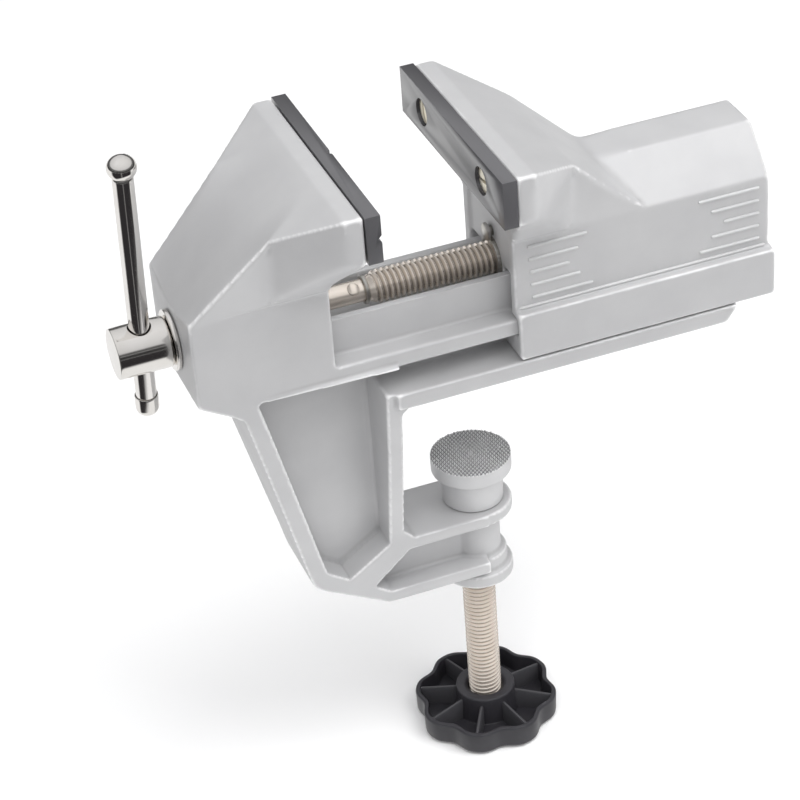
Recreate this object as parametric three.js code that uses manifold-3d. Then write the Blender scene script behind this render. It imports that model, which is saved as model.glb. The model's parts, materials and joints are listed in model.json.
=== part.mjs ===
// Clamp-on bench vise: a cast frame with a fixed jaw, a C-clamp below it and a slide rail,
// a moving jaw driven by a lead screw with a sliding T-handle, and a table clamp screw with a knob.
// Millimetres. +X runs from the handle to the rear of the moving jaw, +Z is up.
// The origin is on the table seat (the underside of the beam), on the clamp screw's axis.
import * as THREE from 'three';
import { ConvexGeometry } from 'three/addons/geometries/ConvexGeometry.js';
import { mergeVertices } from 'three/addons/utils/BufferGeometryUtils.js';
import Module from 'manifold-3d';

const wasm = await Module();
wasm.setup();

// ---------------------------------------------------------------- driving dimensions
const FIT = 0.3; // gap between pieces that touch or are pressed together
const RUN = 0.4; // running clearance of sliding and turning pieces
const THROUGH = 2; // how far a cutting tool runs past the face that it cuts
const LAP = 1; // how far the bodies of one casting run into each other
const ROUND = 32; // sides of a round piece

const JAW = { width: 90, plateHeight: 17, plateThick: 5, topZ: 88.1, fixedFaceX: -41, opening: 41 };
const PLATE_SCREW = {
  spacing: 52, headR: 4.6, headH: 2.2, shankR: 2, length: 14, sunk: 0.7, dropZ: 8.5,
  slotDepth: 0.9, slotHalf: 0.6, holeSpare: 1,
};
const HEAD = { inset: 0.5, flatX: 6.5, ridgeX: 26.5, ridgeOut: 6, ridgeDrop: 10, noseDrop: 0.5, noseLip: 1.5 };
const BODY = { half: 22, creaseZ: 51.3, rearGap: 6.7, length: 47.8, undersideZ: 15 };
const SEAT = { skirt: 3.4, thick: 6, pastHousing: 12.7, endChamfer: 4.4 };
const FRAME = {
  armHalf: 14.2, taperEndZ: -60, topLeftX: -85.6, topLeftZ: 9.6, noseX: -89.9, noseZ: 12.7, noseFrontZ: 18.9,
  footX: -66, footZ: -70.5, heelX: -63.5, heelZ: -73.5, soleX: -39, columnX: -31.5, cornerR: 4,
  flange: 5.5, outerFlange: 5.2, webHalf: 3.5, pocketToeX: 3.2, pocketToeZ: 3.5, pocketSoleX: 11, pocketSoleZ: 1.2,
};
const ARM = {
  topZ: -62, depth: 25, flange: 4.5, bossWall: 2.5, endR: 13.8, footR: 13, footTop: 5.2, footDepth: 7.4,
  collarR: 11, recessStartX: 12, recessBendX: 6, recessRise: 4, recessTopX: 2, recessWeb: 2,
};
const RAIL = { rise: 0.4, wall: 3.2, lipTopZ: 20.9, webHalf: 9, endX: 55, rootIn: 3 };
const HOUSING = {
  setback: 6.3, length: 93.8, skirtLength: 94.9, bottomGap: 0.7, crownZ: 66.3, crownHalf: 8.4, wall: 4.2,
  ledgeZ: 24.2, headFoot: 55, headRoof: 43,
};
// The bends between side and crown: in from the side, above the crease.
const FACETS = [[3, 3.1], [5.9, 7], [9.6, 11]];
const SPINDLE = {
  z: 33.9, threadR: 5.8, shankR: 3.9, threadStartX: -33, pastNut: 26.5, hubLength: 18.5, hubWall: 4.8,
  washerWall: 1.7, washerThick: 1.6, ringOut: 1.1, ringThick: 1.3,
  pinR: 2.2, pinX: -38.4, pinOut: 0.5, pinLean: 42,
  clipOut: 3.3, clipThick: 1.2, clipMouthIn: 0.6, rearWasherOut: 3.9, rearWasherThick: 1,
};
const NUT = {
  setback: 6.5, length: 19, wall: 1.55, bossWall: 1.95, lockR: 1.5, lockHeadR: 3.2, lockHeadH: 1.6, lockIn: 9,
};
const BULKHEAD = { setback: 7.5, thick: 15, topZ: 58, railGap: 1.2 };
const HANDLE = {
  barR: 3.5, ballOut: 1.4, ballHalf: 4.1, above: 71.6, below: 24, tilt: 6.4, cross: 9.6,
  capWall: 0.5, capSocket: 4.5, capEnd: 3, capFlat: 0.6, capBevel: 2, capStep: 0.4,
};
const CLAMP = { screwR: 6, knobTopZ: -147.8, tipStep: 1.2, endInset: 1.5 };
const PAD = {
  topZ: -43, discR: 14.3, rim: 6.2, cone: 2, neckWall: 2, roof: 4.5, ringThick: 1.1, ringOut: 3.8, gapHalf: 1.2,
};
const KNOB = {
  outerR: 26.9, lobes: 8, lobeDepth: 2.5, lobePhase: 15, rimDrop: 3.7, rimHeight: 9.8, rimWall: 2, bossWall: 2.2,
  floor: 2.4, spokes: 8, spokeThick: 1.8, spokeDrop: 1, nutWall: 2.4, nutDepth: 6,
};

// ---------------------------------------------------------------- derived places
const plateBottomZ = JAW.topZ - JAW.plateHeight;
const movingFaceX = JAW.fixedFaceX + JAW.opening;
const fixedBackX = JAW.fixedFaceX - JAW.plateThick;
const movingBackX = movingFaceX + JAW.plateThick;
const plateScrewZ = JAW.topZ - PLATE_SCREW.dropZ;
const headHalf = JAW.width / 2 - HEAD.inset;
const ridgeHalf = BODY.half + HEAD.ridgeOut;
const ridgeZ = JAW.topZ - HEAD.ridgeDrop;
const bodyRearX = fixedBackX - BODY.rearGap;
const bodyFrontX = bodyRearX - BODY.length;
const seatHalf = BODY.half + SEAT.skirt;
const housingFrontX = movingBackX + HOUSING.setback;
const housingEndX = housingFrontX + HOUSING.length;
const skirtEndX = housingFrontX + HOUSING.skirtLength;
const seatRightX = housingEndX - SEAT.pastHousing;
const housingBottomZ = SEAT.thick + HOUSING.bottomGap;
const hubR = HANDLE.barR + RUN + SPINDLE.hubWall;
const washerR = hubR + SPINDLE.washerWall;
const nutFrontX = movingBackX + NUT.setback;
const nutOuterR = SPINDLE.threadR + RUN + NUT.wall;
const nutBossR = nutOuterR + FIT + NUT.bossWall;
const nutLockZ = SPINDLE.z + nutOuterR + NUT.lockHeadR - 2 * RUN;
const bulkheadX = movingBackX + BULKHEAD.setback;
const screwEndX = nutFrontX + NUT.length + SPINDLE.pastNut;
const channelHalf = nutBossR + 2 * RUN;
const channelZ = SPINDLE.z - nutBossR - 2 * RUN;
const railHalf = channelHalf + RAIL.wall;
const railTopZ = SPINDLE.z + RAIL.rise;
const clampTipR = CLAMP.screwR - CLAMP.tipStep;
const padRingR = clampTipR + PAD.ringOut;
const padNeckR = padRingR + FIT + PAD.neckWall;
const knobNutR = CLAMP.screwR + KNOB.nutWall;
const knobBossR = knobNutR + FIT + KNOB.bossWall;
const armBossR = CLAMP.screwR + RUN + ARM.bossWall;
const armBottomZ = ARM.topZ - ARM.depth;
const footBottomZ = armBottomZ - ARM.footDepth;
const padBottomZ = ARM.topZ + FIT;
const shankHoleR = SPINDLE.shankR + FIT;
const hubFrontX = bodyFrontX - FIT - SPINDLE.washerThick - FIT - SPINDLE.hubLength;
const capR = HANDLE.barR + HANDLE.capWall;
const ballR = HANDLE.barR + HANDLE.ballOut;
const handleX = hubFrontX + HANDLE.cross;
const knobRimTopZ = CLAMP.knobTopZ - KNOB.rimDrop;
const knobBottomZ = knobRimTopZ - KNOB.rimHeight;

// ---------------------------------------------------------------- finishes
const finish = (color, roughness, metalness) => new THREE.MeshStandardMaterial({ color, roughness, metalness });
const CAST = finish(0xc4c5ca, 0.45, 0.4);
const BLACK_PLATE = finish(0x2b2a2d, 0.5, 0.2);
const NICKEL = finish(0xd8d2c4, 0.2, 1);
const CHROME = finish(0xe4e4e2, 0.1, 1);
const STEEL = finish(0xb5afa6, 0.3, 1);
const PLASTIC = finish(0x1e1d20, 0.4, 0);
const BRASS = finish(0xc9a862, 0.35, 1);

// ---------------------------------------------------------------- solid helpers
function solid(geometry) {
  const bare = geometry.clone();
  bare.deleteAttribute('normal');
  bare.deleteAttribute('uv');
  const merged = mergeVertices(bare, 1e-4);
  const vertProperties = new Float32Array(merged.attributes.position.array);
  const triVerts = new Uint32Array(merged.index.array);
  return new wasm.Manifold(new wasm.Mesh({ numProp: 3, vertProperties, triVerts }));
}

function geometryOf(body) {
  const mesh = body.getMesh();
  const geometry = new THREE.BufferGeometry();
  const positions = new Float32Array((mesh.vertProperties.length / mesh.numProp) * 3);
  for (let i = 0; i < positions.length / 3; i += 1) {
    for (let axis = 0; axis < 3; axis += 1) {
      positions[3 * i + axis] = mesh.vertProperties[mesh.numProp * i + axis];
    }
  }
  geometry.setAttribute('position', new THREE.BufferAttribute(positions, 3));
  geometry.setIndex(new THREE.BufferAttribute(new Uint32Array(mesh.triVerts), 1));
  return geometry;
}

// A block between two opposite corners.
function block(x0, x1, y0, y1, z0, z1) {
  const geometry = new THREE.BoxGeometry(x1 - x0, y1 - y0, z1 - z0);
  geometry.translate((x0 + x1) / 2, (y0 + y1) / 2, (z0 + z1) / 2);
  return solid(geometry);
}

// A block that is centred on the plane y = 0.
const slab = (x0, x1, half, z0, z1) => block(x0, x1, -half, half, z0, z1);

// A round bar along X, centred on the height z.
function rodX(radius, x0, x1, z, y = 0, sides = ROUND) {
  const geometry = new THREE.CylinderGeometry(radius, radius, x1 - x0, sides);
  geometry.rotateZ(Math.PI / 2);
  geometry.translate((x0 + x1) / 2, y, z);
  return solid(geometry);
}

// A round bar along Z.
function rodZ(radius, z0, z1, x = 0, y = 0, sides = ROUND) {
  const geometry = new THREE.CylinderGeometry(radius, radius, z1 - z0, sides);
  geometry.rotateX(Math.PI / 2);
  geometry.translate(x, y, (z0 + z1) / 2);
  return solid(geometry);
}

// A turned piece: [radius, height] points that start and end on the axis, the axis along Z.
function turned(profile, sides = ROUND) {
  const geometry = new THREE.LatheGeometry(profile.map(([r, h]) => new THREE.Vector2(r, h)), sides);
  geometry.rotateX(Math.PI / 2);
  return solid(geometry);
}

const hull = (points) => solid(new ConvexGeometry(points.map((p) => new THREE.Vector3(...p))));

// The mirrored corners of a section at one x: each [y, z] gives a point on both sides.
const section = (x, corners) => corners.flatMap(([y, z]) => [[x, y, z], [x, -y, z]]);

// A prism across Y with an outline in X and Z.
function acrossY(outline, y0, y1) {
  const shape = new THREE.Shape(outline.map(([x, z]) => new THREE.Vector2(x, z)));
  const geometry = new THREE.ExtrudeGeometry(shape, { depth: y1 - y0, bevelEnabled: false });
  geometry.rotateX(Math.PI / 2);
  geometry.translate(0, y1, 0);
  return solid(geometry);
}

function join(bodies) {
  return bodies.reduce((whole, body) => whole.add(body));
}

function cut(body, tools) {
  return tools.reduce((left, tool) => left.subtract(tool), body);
}

const root = new THREE.Group();

function place(name, body, material, position = [0, 0, 0], rotation = [0, 0, 0], parent = root) {
  const mesh = new THREE.Mesh(geometryOf(body), material);
  mesh.name = name;
  mesh.position.set(...position);
  mesh.rotation.set(...rotation);
  parent.add(mesh);
}

// ---------------------------------------------------------------- jaw plates and their screws
function jawPlate(faceX, side) {
  const backX = faceX + side * JAW.plateThick;
  const [x0, x1] = [Math.min(faceX, backX), Math.max(faceX, backX)];
  const plate = slab(x0, x1, JAW.width / 2, plateBottomZ, JAW.topZ);
  const recess = PLATE_SCREW.sunk + PLATE_SCREW.headH + FIT;
  const tools = [];
  for (const y of [-PLATE_SCREW.spacing / 2, PLATE_SCREW.spacing / 2]) {
    const [h0, h1] = side > 0 ? [x0 - THROUGH, x0 + recess] : [x1 - recess, x1 + THROUGH];
    tools.push(rodX(PLATE_SCREW.headR + FIT, h0, h1, plateScrewZ, y));
    tools.push(rodX(PLATE_SCREW.shankR + FIT, x0 - THROUGH, x1 + THROUGH, plateScrewZ, y));
  }
  return cut(plate, tools);
}

// A pan-head screw whose head lies below the jaw face; side is +1 where the screw points to +X.
function plateScrew(faceX, side, y) {
  const headFace = faceX + side * PLATE_SCREW.sunk;
  const headBack = headFace + side * PLATE_SCREW.headH;
  const tip = headFace + side * PLATE_SCREW.length;
  const inner = headBack - (side * PLATE_SCREW.headH) / 4;
  const head = rodX(PLATE_SCREW.headR, Math.min(headFace, headBack), Math.max(headFace, headBack), plateScrewZ, y);
  const shank = rodX(PLATE_SCREW.shankR, Math.min(inner, tip), Math.max(inner, tip), plateScrewZ, y, 16);
  const slotEnd = headFace + side * PLATE_SCREW.slotDepth;
  const slot = block(
    Math.min(headFace - side * THROUGH, slotEnd), Math.max(headFace - side * THROUGH, slotEnd),
    y - PLATE_SCREW.headR - THROUGH, y + PLATE_SCREW.headR + THROUGH,
    plateScrewZ - PLATE_SCREW.slotHalf, plateScrewZ + PLATE_SCREW.slotHalf,
  );
  return head.add(shank).subtract(slot);
}

function plateScrewHoles(backX, side) {
  const depth = PLATE_SCREW.length - JAW.plateThick + PLATE_SCREW.sunk + PLATE_SCREW.holeSpare;
  const [x0, x1] = side > 0 ? [backX - THROUGH, backX + depth] : [backX - depth, backX + THROUGH];
  const places = [-PLATE_SCREW.spacing / 2, PLATE_SCREW.spacing / 2];
  return places.map((y) => rodX(PLATE_SCREW.shankR + FIT, x0, x1, plateScrewZ, y, 16));
}

// ---------------------------------------------------------------- frame casting
// The jaw head: a wide block behind the plate that narrows and falls towards its ridge points.
// side is -1 on the fixed jaw and +1 on the moving jaw.
function jawHead(backX, side, tail) {
  const face = backX + side * FIT;
  const flat = backX + side * HEAD.flatX;
  const ridge = backX + side * HEAD.ridgeX;
  const wide = [[headHalf, JAW.topZ], [headHalf, plateBottomZ]];
  const foot = [BODY.half, BODY.creaseZ];
  const front = hull([...section(face, wide), ...section(flat, [...wide, foot])]);
  const middle = hull([...section(flat, [...wide, foot]), ...section(ridge, [[ridgeHalf, ridgeZ], foot])]);
  const back = hull([...section(ridge, [[ridgeHalf, ridgeZ], foot]), ...tail]);
  return join([front, middle, back]);
}

function fixedBody() {
  const outline = [
    [bodyFrontX, FRAME.noseFrontZ], [FRAME.noseX, FRAME.noseZ], [FRAME.topLeftX, FRAME.topLeftZ],
    [FRAME.topLeftX + FRAME.outerFlange, BODY.undersideZ], [bodyRearX, BODY.undersideZ],
    [bodyRearX, BODY.creaseZ], [bodyFrontX, BODY.creaseZ],
  ];
  return acrossY(outline, -BODY.half, BODY.half);
}

// The C-frame: column, heel and arm, with a pocket on each side of a thin web, narrowing downwards.
function clampFrame() {
  const outline = [
    [FRAME.topLeftX, FRAME.topLeftZ], [FRAME.footX, FRAME.footZ], [FRAME.heelX, FRAME.heelZ],
    [FRAME.soleX, armBottomZ], [0, armBottomZ], [0, ARM.topZ], [FRAME.columnX + FRAME.cornerR, ARM.topZ],
    [FRAME.columnX, ARM.topZ + FRAME.cornerR], [FRAME.columnX, -FRAME.cornerR],
    [FRAME.columnX + FRAME.cornerR, 0], [FRAME.columnX + FRAME.cornerR, LAP], [FRAME.columnX, SEAT.thick],
    [FRAME.columnX, BODY.undersideZ + LAP], [FRAME.topLeftX, BODY.undersideZ + LAP],
  ];
  const prism = acrossY(outline, -seatHalf, seatHalf);
  const taper = hull([
    ...section(FRAME.topLeftX - THROUGH, [[BODY.half, 2 * BODY.half], [BODY.half, SEAT.thick]]),
    ...section(THROUGH, [[BODY.half, 2 * BODY.half], [BODY.half, BODY.undersideZ], [seatHalf, SEAT.thick]]),
    ...section(FRAME.topLeftX - THROUGH, [[FRAME.armHalf, FRAME.taperEndZ]]),
    ...section(THROUGH, [[FRAME.armHalf, FRAME.taperEndZ]]),
  ]);
  const lower = slab(FRAME.topLeftX, THROUGH, FRAME.armHalf, armBottomZ - THROUGH, FRAME.taperEndZ + LAP);
  return prism.intersect(taper.add(lower));
}

// One pocket outline; the pocket runs from the web's face out past the casting's side.
function webPocket(side) {
  const pocketRight = FRAME.columnX - FRAME.flange;
  const outline = [
    [FRAME.topLeftX + FRAME.outerFlange, BODY.undersideZ],
    [FRAME.heelX + FRAME.pocketToeX, FRAME.footZ + FRAME.pocketToeZ],
    [FRAME.heelX + FRAME.pocketSoleX, FRAME.heelZ + FRAME.pocketSoleZ],
    [pocketRight, ARM.topZ], [pocketRight, SEAT.thick],
    [FRAME.columnX + THROUGH, SEAT.thick], [FRAME.columnX + THROUGH, BODY.undersideZ],
  ];
  const inner = FRAME.webHalf;
  const outer = seatHalf + THROUGH;
  return side > 0 ? acrossY(outline, inner, outer) : acrossY(outline, -outer, -inner);
}

// The recess along the arm, between its top and bottom flanges.
function armPocket(side) {
  const openEnd = ARM.endR + THROUGH;
  const floorZ = armBottomZ + ARM.flange;
  const roofZ = ARM.topZ - ARM.flange;
  const outline = [
    [FRAME.columnX - ARM.recessStartX, floorZ + ARM.recessRise], [FRAME.columnX - ARM.recessBendX, floorZ],
    [openEnd, floorZ], [openEnd, roofZ], [FRAME.columnX + ARM.recessTopX, roofZ],
  ];
  const inner = FRAME.webHalf + ARM.recessWeb;
  const outer = seatHalf + THROUGH;
  return side > 0 ? acrossY(outline, inner, outer) : acrossY(outline, -outer, -inner);
}

function armEnd() {
  return join([
    rodZ(ARM.endR, ARM.topZ - ARM.flange, ARM.topZ),
    rodZ(armBossR, armBottomZ, ARM.topZ),
    rodZ(ARM.collarR, armBottomZ, armBottomZ + ARM.flange - LAP),
    rodZ(ARM.footR, footBottomZ, footBottomZ + ARM.footTop),
    rodZ(ARM.collarR, footBottomZ + LAP, armBottomZ + LAP),
  ]);
}

// The beam with the slide rail on top: a neck, a lip that the moving jaw hooks under, and a grooved top.
function railAndBeam() {
  const beamStart = FRAME.columnX - 2 * LAP;
  const beam = acrossY([
    [beamStart, 0], [seatRightX - SEAT.endChamfer, 0], [seatRightX, SEAT.thick], [beamStart, SEAT.thick],
  ], -seatHalf, seatHalf);
  const start = bodyRearX - RAIL.rootIn;
  const rail = join([
    slab(FRAME.columnX - FRAME.flange, RAIL.endX, RAIL.webHalf, SEAT.thick - LAP, BODY.undersideZ + LAP),
    slab(start, RAIL.endX, BODY.half, BODY.undersideZ, RAIL.lipTopZ),
    slab(start, RAIL.endX, railHalf, RAIL.lipTopZ - LAP, railTopZ),
  ]);
  const channel = slab(bodyRearX, RAIL.endX + THROUGH, channelHalf, channelZ, railTopZ + THROUGH);
  return beam.add(rail.subtract(channel));
}

function frameCasting() {
  const noseZ = BODY.creaseZ - HEAD.noseDrop;
  const noseTop = section(bodyFrontX, [[BODY.half, noseZ], [BODY.half, noseZ - HEAD.noseLip]]);
  const head = jawHead(fixedBackX, -1, noseTop);
  const whole = join([head, fixedBody(), clampFrame(), armEnd(), railAndBeam()]);
  const bore = rodX(SPINDLE.shankR + RUN, bodyFrontX - THROUGH, bodyRearX + THROUGH, SPINDLE.z);
  const clampHole = rodZ(CLAMP.screwR + RUN, footBottomZ - THROUGH, ARM.topZ + THROUGH);
  return cut(whole, [
    webPocket(1), webPocket(-1), armPocketClear(1), armPocketClear(-1), bore, clampHole,
    ...plateScrewHoles(fixedBackX, -1),
  ]);
}

// The arm's recess stops at the boss around the clamp screw.
function armPocketClear(side) {
  return armPocket(side).subtract(rodZ(armBossR, armBottomZ - THROUGH, ARM.topZ + THROUGH));
}

// ---------------------------------------------------------------- moving jaw casting
// The corners of the housing's section above the ledge, each inset from the outside by a wall.
function housingProfile(inset) {
  const side = BODY.half - inset;
  const upper = FACETS.map(([inwards, up]) => [side - inwards, BODY.creaseZ + up - inset / 2]);
  return [[side, BODY.creaseZ], ...upper, [HOUSING.crownHalf - inset / 2, HOUSING.crownZ - inset]];
}

function movingJawCasting() {
  const side = [BODY.half, HOUSING.ledgeZ - LAP];
  const tail = [
    ...section(movingBackX + HOUSING.headFoot, [[BODY.half, BODY.creaseZ]]),
    ...section(movingBackX + HOUSING.headRoof, [[HOUSING.crownHalf, HOUSING.crownZ]]),
  ];
  const outer = join([
    hull([
      ...section(housingFrontX, [side, ...housingProfile(0)]),
      ...section(housingEndX, [side, ...housingProfile(0)]),
    ]),
    slab(housingFrontX, skirtEndX, seatHalf, housingBottomZ, HOUSING.ledgeZ),
    jawHead(movingBackX, 1, tail),
  ]);
  const cavityFront = movingBackX - THROUGH;
  const cavityEnd = housingEndX - HOUSING.wall;
  const inner = BODY.half - HOUSING.wall;
  const roof = [[inner, RAIL.lipTopZ], ...housingProfile(HOUSING.wall)];
  const cavity = hull([...section(cavityFront, roof), ...section(cavityEnd, roof)]);
  const lipRoom = slab(
    cavityFront, cavityEnd, BODY.half + RUN, BODY.undersideZ - RUN, RAIL.lipTopZ + RUN,
  );
  const slot = slab(cavityFront, cavityEnd, RAIL.webHalf + RUN, housingBottomZ - THROUGH, RAIL.lipTopZ);
  const shell = cut(outer, [cavity, lipRoom, slot]);
  const bulkheadEnd = bulkheadX + BULKHEAD.thick;
  const bulkhead = join([
    slab(bulkheadX, bulkheadEnd, inner + LAP, railTopZ + BULKHEAD.railGap, BULKHEAD.topZ),
    rodX(nutBossR, bulkheadX, bulkheadEnd, SPINDLE.z),
  ]);
  return cut(shell.add(bulkhead), [
    rodX(nutOuterR + FIT, bulkheadX - THROUGH, bulkheadEnd + THROUGH, SPINDLE.z),
    rodX(NUT.lockR + FIT, bulkheadX - THROUGH, bulkheadEnd + THROUGH, nutLockZ, 0, 16),
    ...plateScrewHoles(movingBackX, 1),
  ]);
}

// ---------------------------------------------------------------- lead screw and nut
function leadNut() {
  const body = rodX(nutOuterR, nutFrontX, nutFrontX + NUT.length, SPINDLE.z);
  const bore = rodX(
    SPINDLE.threadR + RUN, nutFrontX - THROUGH, nutFrontX + NUT.length + THROUGH, SPINDLE.z,
  );
  return body.subtract(bore);
}

function nutLockScrew() {
  const headBack = nutFrontX - FIT;
  const head = rodX(NUT.lockHeadR, headBack - NUT.lockHeadH, headBack, nutLockZ, 0, 20);
  const shank = rodX(NUT.lockR, headBack - NUT.lockHeadH / 2, bulkheadX + NUT.lockIn, nutLockZ, 0, 16);
  return head.add(shank);
}

function leadScrew() {
  const whole = join([
    rodX(hubR, hubFrontX, hubFrontX + SPINDLE.hubLength, SPINDLE.z),
    rodX(SPINDLE.shankR, hubFrontX + LAP, SPINDLE.threadStartX + LAP, SPINDLE.z),
    rodX(SPINDLE.threadR, SPINDLE.threadStartX, screwEndX, SPINDLE.z),
  ]);
  const cross = rodZ(HANDLE.barR + RUN, -2 * hubR, 2 * hubR);
  const tilted = cross.rotate([HANDLE.tilt, 0, 0]).translate([handleX, 0, SPINDLE.z]);
  return cut(whole, [tilted, leaningPin(SPINDLE.pinR + FIT, 2 * SPINDLE.shankR)]);
}

// A round bar through the shank, leaning towards the near side.
function leaningPin(radius, half) {
  const upright = rodZ(radius, -half, half, 0, 0, 16);
  return upright.rotate([SPINDLE.pinLean, 0, 0]).translate([SPINDLE.pinX, 0, SPINDLE.z]);
}

function ringX(outerR, innerR, x0, x1) {
  return rodX(outerR, x0, x1, SPINDLE.z).subtract(rodX(innerR, x0 - THROUGH, x1 + THROUGH, SPINDLE.z));
}

// An E-shaped clip: a ring with a mouth below and an open gap to push it on.
function retainingClip(x0) {
  const outerR = SPINDLE.shankR + SPINDLE.clipOut;
  const mouthHalf = SPINDLE.shankR - SPINDLE.clipMouthIn;
  const ring = ringX(outerR, shankHoleR, x0, x0 + SPINDLE.clipThick);
  const mouth = block(
    x0 - THROUGH, x0 + THROUGH + SPINDLE.clipThick, -mouthHalf, mouthHalf, SPINDLE.z - 2 * outerR, SPINDLE.z,
  );
  return ring.subtract(mouth);
}

// ---------------------------------------------------------------- handle
function handleBar() {
  const profile = [[0, -HANDLE.below], [HANDLE.barR, -HANDLE.below]];
  const steps = 8;
  const start = Math.PI - Math.asin(HANDLE.barR / ballR);
  for (let i = 0; i < steps; i += 1) {
    const angle = start - (start * i) / steps;
    profile.push([ballR * Math.sin(angle), HANDLE.above + HANDLE.ballHalf * Math.cos(angle)]);
  }
  profile.push([0, HANDLE.above + HANDLE.ballHalf]);
  return turned(profile, 24);
}

function handleEndCap() {
  const bottom = -HANDLE.below - FIT;
  const wall = bottom + HANDLE.capSocket;
  const socket = HANDLE.barR + FIT;
  const end = bottom - HANDLE.capEnd;
  return turned([
    [0, end], [capR * HANDLE.capFlat, end + HANDLE.capStep], [capR, end + HANDLE.capBevel], [capR, wall],
    [socket, wall], [socket, bottom], [0, bottom],
  ], 24);
}

// ---------------------------------------------------------------- table clamp
function clampPad() {
  const rimZ = PAD.topZ - PAD.rim;
  const socketR = clampTipR + RUN;
  const socketTop = PAD.topZ - PAD.roof;
  const ringSeat = padBottomZ + PAD.ringThick + FIT;
  return turned([
    [0, socketTop], [socketR, socketTop], [socketR, ringSeat], [padRingR + FIT, ringSeat],
    [padRingR + FIT, padBottomZ], [padNeckR, padBottomZ], [padNeckR, rimZ - PAD.cone],
    [PAD.discR, rimZ], [PAD.discR, PAD.topZ], [0, PAD.topZ],
  ]);
}

function padSnapRing() {
  const z0 = padBottomZ;
  const ring = rodZ(padRingR, z0, z0 + PAD.ringThick);
  const inner = rodZ(clampTipR + RUN, z0 - THROUGH, z0 + PAD.ringThick + THROUGH);
  const gap = block(-PAD.gapHalf, PAD.gapHalf, 0, padRingR + THROUGH, z0 - THROUGH, z0 + PAD.ringThick + THROUGH);
  return cut(ring, [inner, gap]);
}

// The screw turns in the pad on a plain tip, and its lower end is held in the knob.
function clampScrew() {
  const tipTop = PAD.topZ - PAD.roof - RUN;
  return join([
    rodZ(clampTipR, ARM.topZ - LAP, tipTop),
    rodZ(CLAMP.screwR, knobBottomZ + CLAMP.endInset, ARM.topZ - FIT),
  ]);
}

function lobedDisc(radius, depth, z0, z1) {
  const outline = [];
  const steps = 96;
  for (let i = 0; i < steps; i += 1) {
    const angle = (2 * Math.PI * i) / steps;
    const r = radius - depth * (0.5 - 0.5 * Math.cos(KNOB.lobes * angle)) ** 1.5;
    const turn = angle + THREE.MathUtils.degToRad(KNOB.lobePhase);
    outline.push(new THREE.Vector2(r * Math.cos(turn), r * Math.sin(turn)));
  }
  const geometry = new THREE.ExtrudeGeometry(new THREE.Shape(outline), { depth: z1 - z0, bevelEnabled: false });
  geometry.translate(0, 0, z0);
  return solid(geometry);
}

// The knob is a lobed rim on a thin floor, open above, with spokes that run from the rim to the boss.
function clampKnob() {
  const rim = lobedDisc(KNOB.outerR, KNOB.lobeDepth, knobBottomZ, knobRimTopZ);
  const hollowR = KNOB.outerR - KNOB.rimWall;
  const hollow = lobedDisc(hollowR, KNOB.lobeDepth, knobBottomZ + KNOB.floor, knobRimTopZ + THROUGH);
  const parts = [rim.subtract(hollow), rodZ(knobBossR, knobBottomZ, CLAMP.knobTopZ)];
  for (let i = 0; i < KNOB.spokes; i += 1) {
    const angle = KNOB.lobePhase + (360 * i) / KNOB.spokes;
    const spoke = block(
      knobBossR - LAP, hollowR + LAP, -KNOB.spokeThick / 2, KNOB.spokeThick / 2,
      knobBottomZ + KNOB.floor / 2, knobRimTopZ - KNOB.spokeDrop,
    );
    parts.push(spoke.rotate([0, 0, angle]));
  }
  return cut(join(parts), [
    rodZ(knobNutR + FIT, knobBottomZ - THROUGH, knobBottomZ + KNOB.nutDepth, 0, 0, 6),
    rodZ(CLAMP.screwR + FIT, knobBottomZ - THROUGH, CLAMP.knobTopZ + THROUGH),
  ]);
}

// A hexagon nut sits in the knob's underside and locks it to the screw.
function knobNut() {
  const nut = rodZ(knobNutR, knobBottomZ + FIT, knobBottomZ + KNOB.nutDepth - FIT, 0, 0, 6);
  return nut.subtract(rodZ(CLAMP.screwR + FIT, knobBottomZ - THROUGH, knobBottomZ + KNOB.nutDepth + THROUGH));
}

// ---------------------------------------------------------------- assembly
place('frame_casting', frameCasting(), CAST);
place('fixed_jaw_plate', jawPlate(JAW.fixedFaceX, -1), BLACK_PLATE);
place('moving_jaw_casting', movingJawCasting(), CAST);
place('moving_jaw_plate', jawPlate(movingFaceX, 1), BLACK_PLATE);
for (const [side, sign] of [['near', -1], ['far', 1]]) {
  const y = (sign * PLATE_SCREW.spacing) / 2;
  place(`fixed_plate_screw_${side}`, plateScrew(JAW.fixedFaceX, -1, y), BRASS);
  place(`moving_plate_screw_${side}`, plateScrew(movingFaceX, 1, y), BRASS);
}
place('lead_nut', leadNut(), STEEL);
place('nut_lock_screw', nutLockScrew(), STEEL);
place('lead_screw', leadScrew(), NICKEL);

const frontWasherX = bodyFrontX - FIT - SPINDLE.washerThick;
const rearWasherX = bodyRearX + FIT;
const clipX = rearWasherX + SPINDLE.rearWasherThick + FIT;
const ringX0 = SPINDLE.threadStartX - FIT - SPINDLE.ringThick;
const rearWasherR = SPINDLE.shankR + SPINDLE.rearWasherOut;
const stopRingR = SPINDLE.shankR + SPINDLE.ringOut;
place('thrust_washer', ringX(washerR, shankHoleR, frontWasherX, frontWasherX + SPINDLE.washerThick), CHROME);
place('rear_washer', ringX(rearWasherR, shankHoleR, rearWasherX, rearWasherX + SPINDLE.rearWasherThick), STEEL);
place('retaining_clip', retainingClip(clipX), STEEL);
place('thread_stop_ring', ringX(stopRingR, shankHoleR, ringX0, ringX0 + SPINDLE.ringThick), STEEL);
place('stop_pin', leaningPin(SPINDLE.pinR, SPINDLE.shankR + SPINDLE.pinOut), STEEL);

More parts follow.
